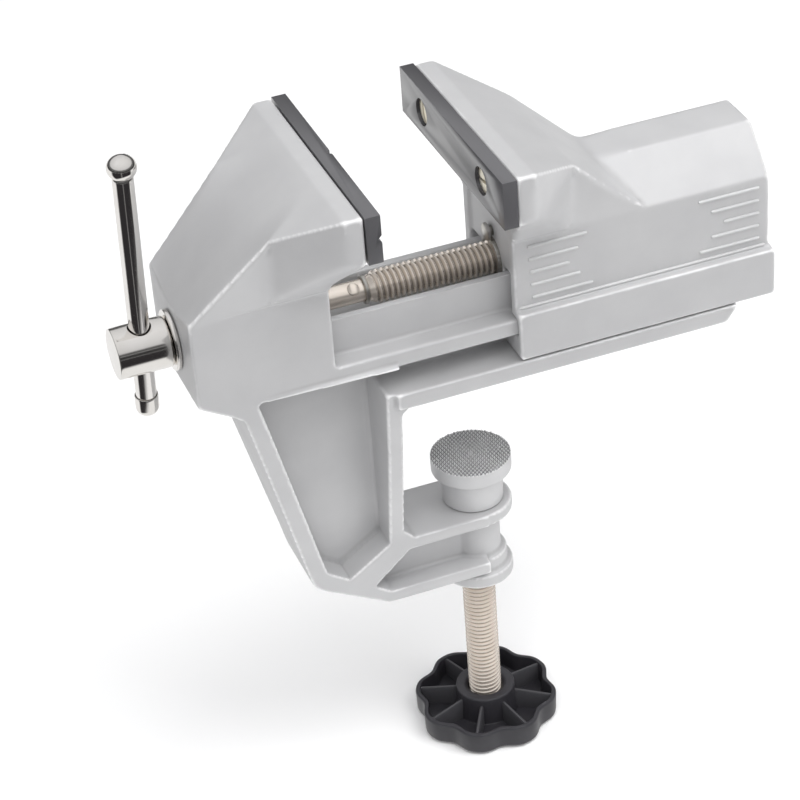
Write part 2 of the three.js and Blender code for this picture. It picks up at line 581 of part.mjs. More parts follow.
const handle = new THREE.Group();
handle.position.set(handleX, 0, SPINDLE.z);
handle.rotation.x = THREE.MathUtils.degToRad(HANDLE.tilt);
root.add(handle);
place('handle_bar', handleBar(), CHROME, [0, 0, 0], [0, 0, 0], handle);
place('handle_end_cap', handleEndCap(), CHROME, [0, 0, 0], [0, 0, 0], handle);

place('clamp_pad', clampPad(), CAST);
place('pad_snap_ring', padSnapRing(), STEEL);
place('clamp_screw', clampScrew(), NICKEL);
place('clamp_knob', clampKnob(), PLASTIC);
place('knob_nut', knobNut(), BRASS);

export default root;
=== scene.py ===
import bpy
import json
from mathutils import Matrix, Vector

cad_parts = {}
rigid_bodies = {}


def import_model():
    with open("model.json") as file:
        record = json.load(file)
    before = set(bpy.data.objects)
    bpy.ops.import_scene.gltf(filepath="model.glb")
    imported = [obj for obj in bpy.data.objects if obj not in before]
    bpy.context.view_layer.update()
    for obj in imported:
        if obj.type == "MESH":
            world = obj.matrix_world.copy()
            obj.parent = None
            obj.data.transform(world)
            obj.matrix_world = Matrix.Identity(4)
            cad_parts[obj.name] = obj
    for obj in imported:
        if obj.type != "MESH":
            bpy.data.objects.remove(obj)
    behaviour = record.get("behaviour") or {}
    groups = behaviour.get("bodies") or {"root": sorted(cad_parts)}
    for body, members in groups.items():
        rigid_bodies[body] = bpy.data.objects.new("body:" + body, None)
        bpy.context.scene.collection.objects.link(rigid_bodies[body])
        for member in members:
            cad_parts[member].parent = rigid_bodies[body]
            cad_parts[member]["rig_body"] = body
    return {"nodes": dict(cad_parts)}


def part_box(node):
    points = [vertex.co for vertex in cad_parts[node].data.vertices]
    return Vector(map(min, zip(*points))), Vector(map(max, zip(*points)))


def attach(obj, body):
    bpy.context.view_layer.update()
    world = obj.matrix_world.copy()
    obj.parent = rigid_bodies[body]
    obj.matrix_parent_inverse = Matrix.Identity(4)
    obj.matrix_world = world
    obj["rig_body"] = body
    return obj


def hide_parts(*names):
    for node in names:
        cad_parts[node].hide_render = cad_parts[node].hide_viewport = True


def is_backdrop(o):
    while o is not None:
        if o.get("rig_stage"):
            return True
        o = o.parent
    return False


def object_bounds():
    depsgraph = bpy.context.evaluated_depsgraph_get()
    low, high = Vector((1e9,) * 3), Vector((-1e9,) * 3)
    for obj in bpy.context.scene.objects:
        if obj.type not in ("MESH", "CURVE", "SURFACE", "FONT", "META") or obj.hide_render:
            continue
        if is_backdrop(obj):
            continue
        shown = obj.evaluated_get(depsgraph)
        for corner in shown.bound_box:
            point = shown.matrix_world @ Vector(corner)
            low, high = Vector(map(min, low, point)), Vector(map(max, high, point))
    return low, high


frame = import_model()

"""Bench vise that clamps to a table: castings, jaw plates, lead screw, T-handle, clamp screw and knob.

Lengths are in metres. +X runs from the handle to the rear of the moving jaw, +Z is up, and the origin
is on the table seat above the clamp screw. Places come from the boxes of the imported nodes.
"""

import json
import logging
import math
from dataclasses import dataclass, field
from enum import Enum
from typing import Callable

import bmesh
import bpy
import numpy as np
from mathutils import Matrix, Vector

LOG = logging.getLogger("bench_vise")
Pair = tuple[float, float]
Triple = tuple[float, float, float]
MM = 0.001
SAME_POINT = 0.002 * MM
CREASE = 38.0


class Slot(Enum):
    """The record's material slots."""

    CASTING = "casting"
    JAW_PLATE = "jaw_plate"
    PLATE_SCREW = "plate_screw"
    STEEL = "steel"
    NICKEL = "screw_nickel"
    CHROME = "handle_chrome"
    KNOB = "knob_plastic"


class Body(Enum):
    """The bodies that move on their own."""

    FRAME = "frame"
    MOVING_JAW = "moving_jaw"
    LEAD_SCREW = "lead_screw"
    HANDLE = "handle"
    CLAMP_PAD = "clamp_pad"
    CLAMP_SCREW = "clamp_screw"


# ---------------------------------------------------------------- surfaces


@dataclass
class Surface:
    """Vertices and faces of one or more closed shells."""

    verts: np.ndarray
    faces: list[tuple[int, ...]]

    def volume(self) -> float:
        """Signed volume: the sum of the tetrahedra from the origin to each triangle of each face."""
        total = 0.0
        for size in (3, 4):
            chosen = [f for f in self.faces if len(f) == size]
            if not chosen:
                continue
            corner = self.verts[np.array(chosen)]
            for k in range(1, size - 1):
                a, b, c = corner[:, 0], corner[:, k], corner[:, k + 1]
                total += float(np.einsum("ij,ij->i", a, np.cross(b, c)).sum()) / 6.0
        return total

    def outward(self) -> "Surface":
        """The same shell with its faces turned outwards."""
        if self.volume() < 0:
            self.faces = [tuple(reversed(f)) for f in self.faces]
        return self

    def moved(self, matrix: Matrix) -> "Surface":
        """The surface after a rigid move.

        Args:
            matrix: the 4x4 move.

        Returns:
            A new surface.
        """
        m = np.array(matrix, float)
        return Surface(self.verts @ m[:3, :3].T + m[:3, 3], list(self.faces))


def joined(parts: list[Surface]) -> Surface:
    """Several shells as one surface.

    Args:
        parts: the shells.

    Returns:
        One surface that holds them all.
    """
    verts, faces, start = [], [], 0
    for part in parts:
        verts.append(part.verts)
        faces.extend(tuple(i + start for i in f) for f in part.faces)
        start += len(part.verts)
    return Surface(np.vstack(verts), faces)


def tube(points: np.ndarray, loop_rows: bool = False) -> Surface:
    """A closed shell from rings: row i, column j, where the columns go round.

    Neighbouring rings are joined by quads. The first and the last ring are closed by a fan to their mean,
    unless the rows themselves go round in a loop.

    Args:
        points: array of shape (rows, columns, 3).
        loop_rows: true where the last row joins the first.

    Returns:
        The shell, with its faces outwards.
    """
    rows, cols = points.shape[:2]
    verts = points.reshape(-1, 3)
    last = rows if loop_rows else rows - 1
    i, j = np.meshgrid(np.arange(last), np.arange(cols), indexing="ij")
    nxt, side = (i + 1) % rows, (j + 1) % cols
    quads = np.stack([i * cols + j, i * cols + side, nxt * cols + side, nxt * cols + j], axis=-1)
    faces = [tuple(q) for q in quads.reshape(-1, 4).tolist()]
    if not loop_rows:
        ends = np.vstack([points[0].mean(axis=0), points[-1].mean(axis=0)])
        verts = np.vstack([verts, ends])
        low, high, base = rows * cols, rows * cols + 1, (rows - 1) * cols
        faces += [(low, (k + 1) % cols, k) for k in range(cols)]
        faces += [(high, base + k, base + (k + 1) % cols) for k in range(cols)]
    return Surface(verts, faces).outward()


def eased(profile: list[Pair], radius: float, steps: int = 4) -> np.ndarray:
    """A polyline with each inner corner replaced by a quadratic curve.

    The curve leaves each side at the radius, or at 45% of the side where that is shorter, and its control
    point is the corner itself: (1-t)^2 A + 2t(1-t) C + t^2 B.

    Args:
        profile: the corners.
        radius: distance from the corner at which the curve starts.
        steps: pieces in each curve.

    Returns:
        The points as an array of shape (n, 2).
    """
    p = np.array(profile, float)
    out = [p[0]]
    t = np.linspace(0, 1, steps + 1)[:, None]
    for a, c, b in zip(p[:-2], p[1:-1], p[2:]):
        back, on = a - c, b - c
        start = c + back * min(radius / max(np.linalg.norm(back), 1e-9), 0.45)
        end = c + on * min(radius / max(np.linalg.norm(on), 1e-9), 0.45)
        out.extend((1 - t) ** 2 * start + 2 * t * (1 - t) * c + t**2 * end)
    out.append(p[-1])
    return np.array(out)


def ramp(value: np.ndarray, start: float, width: float) -> np.ndarray:
    """0 up to the start, 1 from the start plus the width on, and a straight line between."""
    return np.clip((value - start) / width, 0, 1)


def circle(sides: int) -> np.ndarray:
    """The angles of a ring's points, as one row.

    Args:
        sides: points in the ring.

    Returns:
        The angles in radians, of shape (1, sides).
    """
    return np.linspace(0, 2 * math.pi, sides, endpoint=False)[None, :]


def rings(r: np.ndarray, angle: np.ndarray, h: np.ndarray) -> np.ndarray:
    """Rings about Z: the point with radius r, angle a and height h is (r cos a, r sin a, h).

    Args:
        r: the radii, as a column or a grid.
        angle: the row of angles.
        h: the heights, as a column or a grid.

    Returns:
        The points, of shape (rows, columns, 3).
    """
    return np.stack([r * np.cos(angle), r * np.sin(angle), h + 0 * angle], axis=-1)


def turned(profile: np.ndarray, sides: int = 64, loop: bool = False) -> Surface:
    """A lathe shape about Z.

    Args:
        profile: rows of radius and height; an open profile is closed at its ends.
        sides: points in a ring.
        loop: true where the profile goes once round a section, as a washer's or a nut's does.

    Returns:
        The shell.
    """
    return tube(rings(profile[:, :1], circle(sides), profile[:, 1:]), loop)


def washer_profile(outer: float, inner: float, thick: float, ease: float) -> np.ndarray:
    """The loop of a flat ring's section with four eased corners, from height 0 to thick.

    It starts at the middle of the bore's wall, and ends just above the start.

    Args:
        outer: outer radius.
        inner: bore radius.
        thick: height.
        ease: size of the eased corners.

    Returns:
        The loop's points.
    """
    mid = thick / 2
    last = mid + ease / 9
    corners = [(inner, mid), (inner, 0), (outer, 0), (outer, thick), (inner, thick), (inner, last)]
    return eased(corners, ease, 3)


@dataclass(frozen=True)
class Thread:
    """A screw thread about Z.

    The radius is the outer one less depth times a rounded triangle wave of phase h / pitch - a / 2 pi, so
    the groove climbs one pitch in a turn. The ends taper to below the root over the lead and the chamfer.
    """

    radius: float
    depth: float
    pitch: float
    lead: float
    chamfer: float
    sides: int = 48
    rows_per_turn: int = 12
    crest: float = 0.18
    flank: float = 0.64
    end_depth: float = 1.25

    def surface(self, start: float, end: float) -> Surface:
        """The thread between two heights.

        Args:
            start: lowest height.
            end: highest height.

        Returns:
            The shell.
        """
        rows = int(round((end - start) / self.pitch * self.rows_per_turn)) + 1
        h = np.linspace(start, end, rows)[:, None]
        angle = circle(self.sides)
        wave = np.abs(((h / self.pitch - angle / (2 * math.pi)) % 1.0) * 2 - 1)
        groove = np.clip((wave - self.crest) / self.flank, 0, 1)
        groove = groove * groove * (3 - 2 * groove)
        taper = np.clip(1 - np.minimum((h - start) / self.lead, (end - h) / self.chamfer), 0, 1)
        cut = self.radius - self.depth * groove
        return tube(rings(np.minimum(cut, self.radius - self.depth * self.end_depth * taper), angle, h))


def along_x(x: float, z: float) -> Matrix:
    """The move that lays a shape's Z axis along +X, with its origin at x and the height z."""
    return Matrix.Translation((x, 0, z)) @ Matrix.Rotation(math.radians(90), 4, "Y")


# ---------------------------------------------------------------- objects


def link(name: str, mesh: bpy.types.Mesh, crease: float = CREASE) -> bpy.types.Object:
    """Puts a mesh into the scene, shaded smooth with edges sharp above an angle.

    Args:
        name: the piece's name.
        mesh: its mesh.
        crease: the angle in degrees above which an edge stays sharp.

    Returns:
        The object.
    """
    mesh.shade_smooth()
    mesh.set_sharp_from_angle(angle=math.radians(crease))
    obj = bpy.data.objects.new(name, mesh)
    bpy.context.scene.collection.objects.link(obj)
    return obj


def piece(name: str, surface: Surface, crease: float = CREASE) -> bpy.types.Object:
    """An object from a surface.

    Args:
        name: the piece's name.
        surface: its shells.
        crease: the angle in degrees above which an edge stays sharp.

    Returns:
        The object.
    """
    mesh = bpy.data.meshes.new(name)
    mesh.from_pydata(surface.verts.tolist(), [], surface.faces)
    mesh.update()
    return link(name, mesh, crease)


def settle(obj: bpy.types.Object, crease: float = CREASE) -> bpy.types.Object:
    """Applies an object's modifiers to its mesh.

    Args:
        obj: the object.
        crease: the angle in degrees above which an edge stays sharp.

    Returns:
        The same object, with the finished mesh.
    """
    graph = bpy.context.evaluated_depsgraph_get()
    done = bpy.data.meshes.new_from_object(obj.evaluated_get(graph))
    obj.modifiers.clear()
    obj.data = done
    done.shade_smooth()
    done.set_sharp_from_angle(angle=math.radians(crease))
    return obj


def cad_copy(node: str, name: str, dissolve: bool = True) -> bpy.types.Object:
    """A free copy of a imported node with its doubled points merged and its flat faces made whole.

    Args:
        node: the node's name.
        name: the new piece's name.
        dissolve: true to join the triangles of each flat face.

    Returns:
        The copy.
    """
    work = bmesh.new()
    work.from_mesh(frame["nodes"][node].data)
    bmesh.ops.remove_doubles(work, verts=work.verts, dist=SAME_POINT)
    if dissolve:
        flat = math.radians(1)
        bmesh.ops.dissolve_limit(work, angle_limit=flat, verts=work.verts, edges=work.edges)
    mesh = bpy.data.meshes.new(name)
    work.to_mesh(mesh)
    work.free()
    return link(name, mesh)


def cut_by(obj: bpy.types.Object, tool: bpy.types.Object) -> None:
    """Takes a tool's shape out of an object and removes the tool.

    Args:
        obj: what is cut.
        tool: the shape that is taken out.
    """
    boolean = obj.modifiers.new("cut", "BOOLEAN")
    boolean.operation = "DIFFERENCE"
    boolean.solver = "EXACT"
    boolean.object = tool
    settle(obj)
    bpy.data.objects.remove(tool)


def bevelled(obj: bpy.types.Object, width: float, angle: float = 35.0) -> bpy.types.Object:
    """Rounds an object's sharp edges with a Bevel modifier and applies it.

    Args:
        obj: the object.
        width: the bevel's width.
        angle: the least angle in degrees that is rounded.

    Returns:
        The same object.
    """
    bevel = obj.modifiers.new("round", "BEVEL")
    bevel.width = width
    bevel.segments = 2
    bevel.limit_method = "ANGLE"
    bevel.angle_limit = math.radians(angle)
    return settle(obj)


@dataclass
class CastSkin:
    """Turns a faceted node into a cast skin whose edges and corners are rounded.

    The copy is remeshed on a fine grid, shaped, relaxed, and thinned where it is flat. Where the shape asks
    for it, a second smoothing of many passes blends the skin in four strengths.
    """

    voxel: float = 0.7 * MM
    passes: int = 4
    soft_passes: int = 90
    soft_levels: tuple[float, ...] = (0.25, 0.5, 0.75, 1.0)
    keep: float = 0.3
    crease: float = 60.0

    def make(self, node: str, name: str, shape: Callable) -> bpy.types.Object:
        """Builds the skin.

        Args:
            node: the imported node.
            name: the new piece's name.
            shape: takes the points of the remeshed skin, and returns them moved, with each point's softness.

        Returns:
            The finished object.
        """
        obj = cad_copy(node, name, dissolve=False)
        grid = obj.modifiers.new("grid", "REMESH")
        grid.mode = "VOXEL"
        grid.voxel_size = self.voxel
        settle(obj)
        count = len(obj.data.vertices)
        co = np.empty(count * 3)
        obj.data.vertices.foreach_get("co", co)
        co, soft = shape(co.reshape(-1, 3))
        obj.data.vertices.foreach_set("co", co.ravel())
        flare = obj.vertex_groups.new(name="flare")
        reach = self.soft_levels[0] / 2
        for level in self.soft_levels:
            flare.add(np.flatnonzero(np.abs(soft - level) <= reach).tolist(), level, "REPLACE")
        blend = obj.modifiers.new("blend", "SMOOTH")
        blend.factor, blend.iterations, blend.vertex_group = 0.5, self.soft_passes, "flare"
        relax = obj.modifiers.new("relax", "SMOOTH")
        relax.factor, relax.iterations = 0.5, self.passes
        thin = obj.modifiers.new("thin", "DECIMATE")
        thin.ratio = self.keep
        settle(obj, self.crease)
        LOG.info("%s: %d faces", name, len(obj.data.polygons))
        return obj


def dress(obj: bpy.types.Object, body: Body, material: bpy.types.Material, slot: Slot, *nodes: str) -> None:
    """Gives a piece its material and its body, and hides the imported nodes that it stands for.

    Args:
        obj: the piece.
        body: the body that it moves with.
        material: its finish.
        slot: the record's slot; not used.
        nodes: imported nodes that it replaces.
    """
    obj.data.materials.clear()
    obj.data.materials.append(material)
    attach(obj, body.value)
    if nodes:
        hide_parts(*nodes)
    LOG.info("piece %s rides on %s", obj.name, body.value)


def body_of(node: str) -> Body:
    """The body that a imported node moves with."""
    return Body(frame["nodes"][node]["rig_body"])


def repaint(node: str, material: bpy.types.Material) -> None:
    """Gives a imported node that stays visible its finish.

    Args:
        node: the node's name.
        material: its finish.
    """
    obj = frame["nodes"][node]
    for index in range(len(obj.material_slots)):
        obj.material_slots[index].material = material


# ---------------------------------------------------------------- materials


class Graph:
    """A small writer of node trees."""

    def __init__(self, tree: bpy.types.NodeTree) -> None:
        """Keeps the tree that is written to."""
        self.tree = tree

    def add(self, kind: str, inputs: dict | None = None, **settings) -> bpy.types.Node:
        """Adds a node.

        Args:
            kind: the node's type.
            inputs: values or source sockets by input name or number.
            settings: the node's own properties.

        Returns:
            The node.
        """
        node = self.tree.nodes.new(kind)
        for key, value in settings.items():
            setattr(node, key, value)
        for key, value in (inputs or {}).items():
            if isinstance(value, bpy.types.NodeSocket):
                self.tree.links.new(value, node.inputs[key])
            else:
                node.inputs[key].default_value = value
        return node

    def math(self, operation: str, a, b=0.0, clamp: bool = False) -> bpy.types.NodeSocket:
        """A Math node's result from two values or sockets."""
        return self.add("ShaderNodeMath", {0: a, 1: b}, operation=operation, use_clamp=clamp).outputs[0]

    def mix(self, factor, a, b) -> bpy.types.NodeSocket:
        """A colour mixed from a to b by the factor."""
        return self.add("ShaderNodeMix", {0: factor, 6: a, 7: b}, data_type="RGBA").outputs[2]


def new_group(name: str, inputs: dict[str, float], outputs: list[str]) -> tuple[bpy.types.NodeTree, Graph]:
    """An empty shader group with float sockets.

    Args:
        name: the group's name.
        inputs: input names with their default values.
        outputs: output names.

    Returns:
        The group and its writer.
    """
    tree = bpy.data.node_groups.new(name, "ShaderNodeTree")
    for label, value in inputs.items():
        tree.interface.new_socket(label, in_out="INPUT", socket_type="NodeSocketFloat").default_value = value
    for label in outputs:
        tree.interface.new_socket(label, in_out="OUTPUT", socket_type="NodeSocketFloat")
    return tree, Graph(tree)


def grain_group() -> bpy.types.NodeTree:
    """Cast or blasted grain: coarse blotches and fine pits, both from noise on object coordinates.

    Returns:
        The group. Blotch is a mask from 0 to 1, and Height is its sum with the pits, for a bump.
    """
    scales = {"Blotch Scale": 60.0, "Pit Scale": 1500.0}
    tree, g = new_group("surface_grain", scales, ["Blotch", "Height"])
    source = g.add("NodeGroupInput")
    sink = g.add("NodeGroupOutput")
    place = g.add("ShaderNodeTexCoord").outputs["Object"]
    blotch = g.add("ShaderNodeTexNoise", {"Vector": place, "Scale": source.outputs[0], "Detail": 5.0})
    pits = g.add("ShaderNodeTexNoise", {"Vector": place, "Scale": source.outputs[1], "Detail": 3.0})
    coarse, fine = 0.35, 0.65
    swell = g.math("MULTIPLY", blotch.outputs[0], coarse)
    height = g.math("ADD", swell, g.math("MULTIPLY", pits.outputs[0], fine))
    tree.links.new(blotch.outputs[0], sink.inputs[0])
    tree.links.new(height, sink.inputs[1])
    return tree


def highlight_and_shade_group() -> bpy.types.NodeTree:
    """Edge abrasion with a painted highlight on convex edges, and painted shade in concave corners, from the
    surface's curvature, which is a half on a flat face.

    Returns:
        The group. Edge is 1 on convex edges, broken up by noise, and Corner is 1 in concave ones.
    """
    tree, g = new_group("edge_highlight_and_corner_shade", {"Width": 0.05, "Break": 0.4}, ["Edge", "Corner"])
    source = g.add("NodeGroupInput")
    sink = g.add("NodeGroupOutput")
    place = g.add("ShaderNodeTexCoord").outputs["Object"]
    curve = g.add("ShaderNodeNewGeometry").outputs["Pointiness"]
    flecks, convex, concave = 420.0, 0.517, 0.495
    noise = g.add("ShaderNodeTexNoise", {"Vector": place, "Scale": flecks, "Detail": 4.0}).outputs[0]
    rough = g.math("MULTIPLY", g.math("SUBTRACT", noise, 0.5), source.outputs[1])
    # Edge: convex curvature, for a painted highlight with some abrasion
    edge = g.math("DIVIDE", g.math("SUBTRACT", curve, convex), source.outputs[0])
    edge = g.math("ADD", edge, rough, clamp=True)
    # Corner: concave curvature, for painted shade
    corner = g.math("DIVIDE", g.math("SUBTRACT", concave, curve), source.outputs[0], clamp=True)
    tree.links.new(edge, sink.inputs[0])
    tree.links.new(corner, sink.inputs[1])
    return tree


def scratch_group() -> bpy.types.NodeTree:
    """Fine lines that run round or along a part: noise stretched by a mapping.

    Returns:
        The group. Lines is a mask from 0 to 1.
    """
    tree, g = new_group("tool_lines", {"Along": 40.0, "Across": 2600.0}, ["Lines"])
    source = g.add("NodeGroupInput")
    sink = g.add("NodeGroupOutput")
    place = g.add("ShaderNodeTexCoord").outputs["Object"]
    parts = g.add("ShaderNodeSeparateXYZ", {0: place})
    x = g.math("MULTIPLY", parts.outputs[0], source.outputs[1])
    y = g.math("MULTIPLY", parts.outputs[1], source.outputs[0])
    z = g.math("MULTIPLY", parts.outputs[2], source.outputs[1])
    vector = g.add("ShaderNodeCombineXYZ", {0: x, 1: y, 2: z}).outputs[0]
    lines = g.add("ShaderNodeTexNoise", {"Vector": vector, "Scale": 1.0, "Detail": 2.0}).outputs[0]
    tree.links.new(lines, sink.inputs[0])
    return tree


@dataclass
class Groups:
    """The node groups that the finishes share."""

    grain: bpy.types.NodeTree = field(default_factory=grain_group)
    wear_and_painted_light: bpy.types.NodeTree = field(default_factory=highlight_and_shade_group)
    lines: bpy.types.NodeTree = field(default_factory=scratch_group)


BLOTCH_LOW, BLOTCH_HIGH = 0.35, 0.65
# How dark the painted shade in concave corners gets, as a share of the shade tone
CORNER_SHADE_DARKNESS = 0.35
COAT_ROUGHNESS = 0.25


@dataclass(frozen=True)
class MetalFinish:
    """A metal or plastic finish with grain, tool lines, a painted highlight with some abrasion on edges, and
    painted shade in concave corners.
    """

    name: str
    colour: Triple
    shade: Triple
    # The pale colour that convex edges brighten to: a painted highlight with some abrasion
    worn_and_highlit: Triple
    metallic: float = 1.0
    roughness: float = 0.3
    rough_spread: float = 0.12
    blotch_scale: float = 60.0
    pit_scale: float = 1500.0
    bump: float = 0.08
    bump_distance: float = 0.00004
    # Strength of that edge brightening, width of the curvature ramps, and strength of the painted shade in
    # concave corners
    wear_and_painted_light: float = 0.5
    wear_and_light_width: float = 0.05
    corner_shade: float = 0.5
    line_mix: float = 0.0
    line_along: float = 40.0
    line_across: float = 2600.0
    coat: float = 0.0

    def build(self, groups: Groups) -> bpy.types.Material:
        """Writes the material.

        Args:
            groups: the shared node groups.

        Returns:
            The material.
        """
        material = bpy.data.materials.new(self.name)
        material.use_nodes = True
        material.diffuse_color = (*self.colour, 1.0)
        g = Graph(material.node_tree)
        shader = material.node_tree.nodes["Principled BSDF"]
        grain = g.add("ShaderNodeGroup", node_tree=groups.grain)
        grain.inputs[0].default_value, grain.inputs[1].default_value = self.blotch_scale, self.pit_scale
        wear_and_painted_light = g.add("ShaderNodeGroup", node_tree=groups.wear_and_painted_light)
        wear_and_painted_light.inputs[0].default_value = self.wear_and_light_width
        lines = g.add("ShaderNodeGroup", node_tree=groups.lines)
        lines.inputs[0].default_value, lines.inputs[1].default_value = self.line_along, self.line_across
        spots = {0: grain.outputs[0], 1: BLOTCH_LOW, 2: BLOTCH_HIGH, 3: 0.0, 4: 1.0}
        blotch = g.add("ShaderNodeMapRange", spots).outputs[0]
        base = g.mix(blotch, (*self.colour, 1), (*self.shade, 1))
        # Painted shade: concave corners darken towards a dark copy of the shade tone
        corner_shade_colour = (*[c * CORNER_SHADE_DARKNESS for c in self.shade], 1)
        corner_shaded = g.mix(g.math("MULTIPLY", wear_and_painted_light.outputs[1], self.corner_shade), base, corner_shade_colour)
        # Painted highlight with some abrasion: convex edges brighten towards the pale edge colour
        worn_and_highlit = g.mix(g.math("MULTIPLY", wear_and_painted_light.outputs[0], self.wear_and_painted_light), corner_shaded, (*self.worn_and_highlit, 1))
        g.tree.links.new(worn_and_highlit, shader.inputs["Base Color"])
        spread = g.math("MULTIPLY", g.math("SUBTRACT", grain.outputs[0], 0.5), 2 * self.rough_spread)
        lined = g.math("MULTIPLY", g.math("SUBTRACT", lines.outputs[0], 0.5), 0.5 * self.line_mix)
        rough = g.math("ADD", g.math("ADD", spread, lined), self.roughness, clamp=True)
        g.tree.links.new(rough, shader.inputs["Roughness"])
        height = g.math("ADD", grain.outputs[1], g.math("MULTIPLY", lines.outputs[0], self.line_mix))
        relief = {"Height": height, "Strength": self.bump, "Distance": self.bump_distance}
        bump = g.add("ShaderNodeBump", relief)
        g.tree.links.new(bump.outputs[0], shader.inputs["Normal"])
        shader.inputs["Metallic"].default_value = self.metallic
        shader.inputs["Coat Weight"].default_value = self.coat
        shader.inputs["Coat Roughness"].default_value = COAT_ROUGHNESS
        return material


# In each finish the third colour is the pale colour of the painted edge highlight, and the corner strength
# sets the painted shade in concave corners
CASTING = MetalFinish(
    "cast_silver_coat", (0.56, 0.56, 0.565), (0.525, 0.525, 0.532), (0.93, 0.93, 0.93),
    metallic=0.3, roughness=0.45, rough_spread=0.08, blotch_scale=45, pit_scale=1700,
    bump=0.3, bump_distance=0.00006, wear_and_painted_light=0.9, wear_and_light_width=0.04, corner_shade=0.45,
)
# The knurl: strong painted shade in its valleys and a broad painted highlight on its crests
KNURLED = MetalFinish(
    "cast_silver_knurl", (0.60, 0.60, 0.605), (0.55, 0.55, 0.557), (0.95, 0.95, 0.95),
    metallic=0.3, roughness=0.4, pit_scale=1700,
    bump=0.2, bump_distance=0.00006, wear_and_painted_light=0.9, wear_and_light_width=0.1, corner_shade=2.2,
)
# A lighter copy of the casting's finish for the raised ribs and lines, with softer edge brightening: a
# painted highlight
RAISED_HIGHLIT = MetalFinish(
    "cast_silver_rib_highlit", (0.60, 0.60, 0.605), (0.55, 0.55, 0.557), (0.68, 0.68, 0.68),
    metallic=0.3, roughness=0.42, blotch_scale=45, pit_scale=1700,
    bump=0.3, bump_distance=0.00006, wear_and_painted_light=0.3, corner_shade=0.3,
)
BLACK_PLATE = MetalFinish(
    "black_oxide_steel", (0.062, 0.06, 0.065), (0.052, 0.05, 0.055), (0.2, 0.2, 0.21),
    metallic=0.25, roughness=0.34, rough_spread=0.03, blotch_scale=60, pit_scale=2600,
    bump=0.06, wear_and_painted_light=0.35, corner_shade=0.0, line_mix=0.06, coat=1.0,
)
# The thread: strong painted shade in its grooves
NICKEL = MetalFinish(
    "nickel_thread", (0.95, 0.87, 0.785), (0.90, 0.815, 0.725), (0.99, 0.95, 0.9),
    metallic=0.72, roughness=0.2, rough_spread=0.05, blotch_scale=150,
    bump=0.06, wear_and_painted_light=0.0, wear_and_light_width=0.08, corner_shade=2.4, line_mix=0.1,
)
CHROME = MetalFinish(
    "bright_chrome", (0.90, 0.875, 0.845), (0.85, 0.825, 0.79), (0.97, 0.96, 0.95),
    roughness=0.13, rough_spread=0.04, blotch_scale=90, bump=0.04, wear_and_painted_light=0.2, corner_shade=0.2,
)
STEEL = MetalFinish(
    "zinc_steel", (0.66, 0.64, 0.61), (0.56, 0.54, 0.5), (0.85, 0.84, 0.82),
    roughness=0.32, bump=0.2, line_mix=0.4,
)
BRASS = MetalFinish(
    "plated_screw", (0.93, 0.89, 0.76), (0.86, 0.8, 0.64), (0.97, 0.95, 0.88),
    metallic=0.8, roughness=0.38, bump=0.2, corner_shade=0.5,
)
PLASTIC = MetalFinish(
    "black_plastic", (0.032, 0.031, 0.036), (0.026, 0.025, 0.03), (0.1, 0.1, 0.106),
    metallic=0.0, roughness=0.4, rough_spread=0.06, blotch_scale=120, pit_scale=2200,
    bump=0.25, wear_and_painted_light=0.3, corner_shade=0.7,
)


# ---------------------------------------------------------------- sub-assemblies


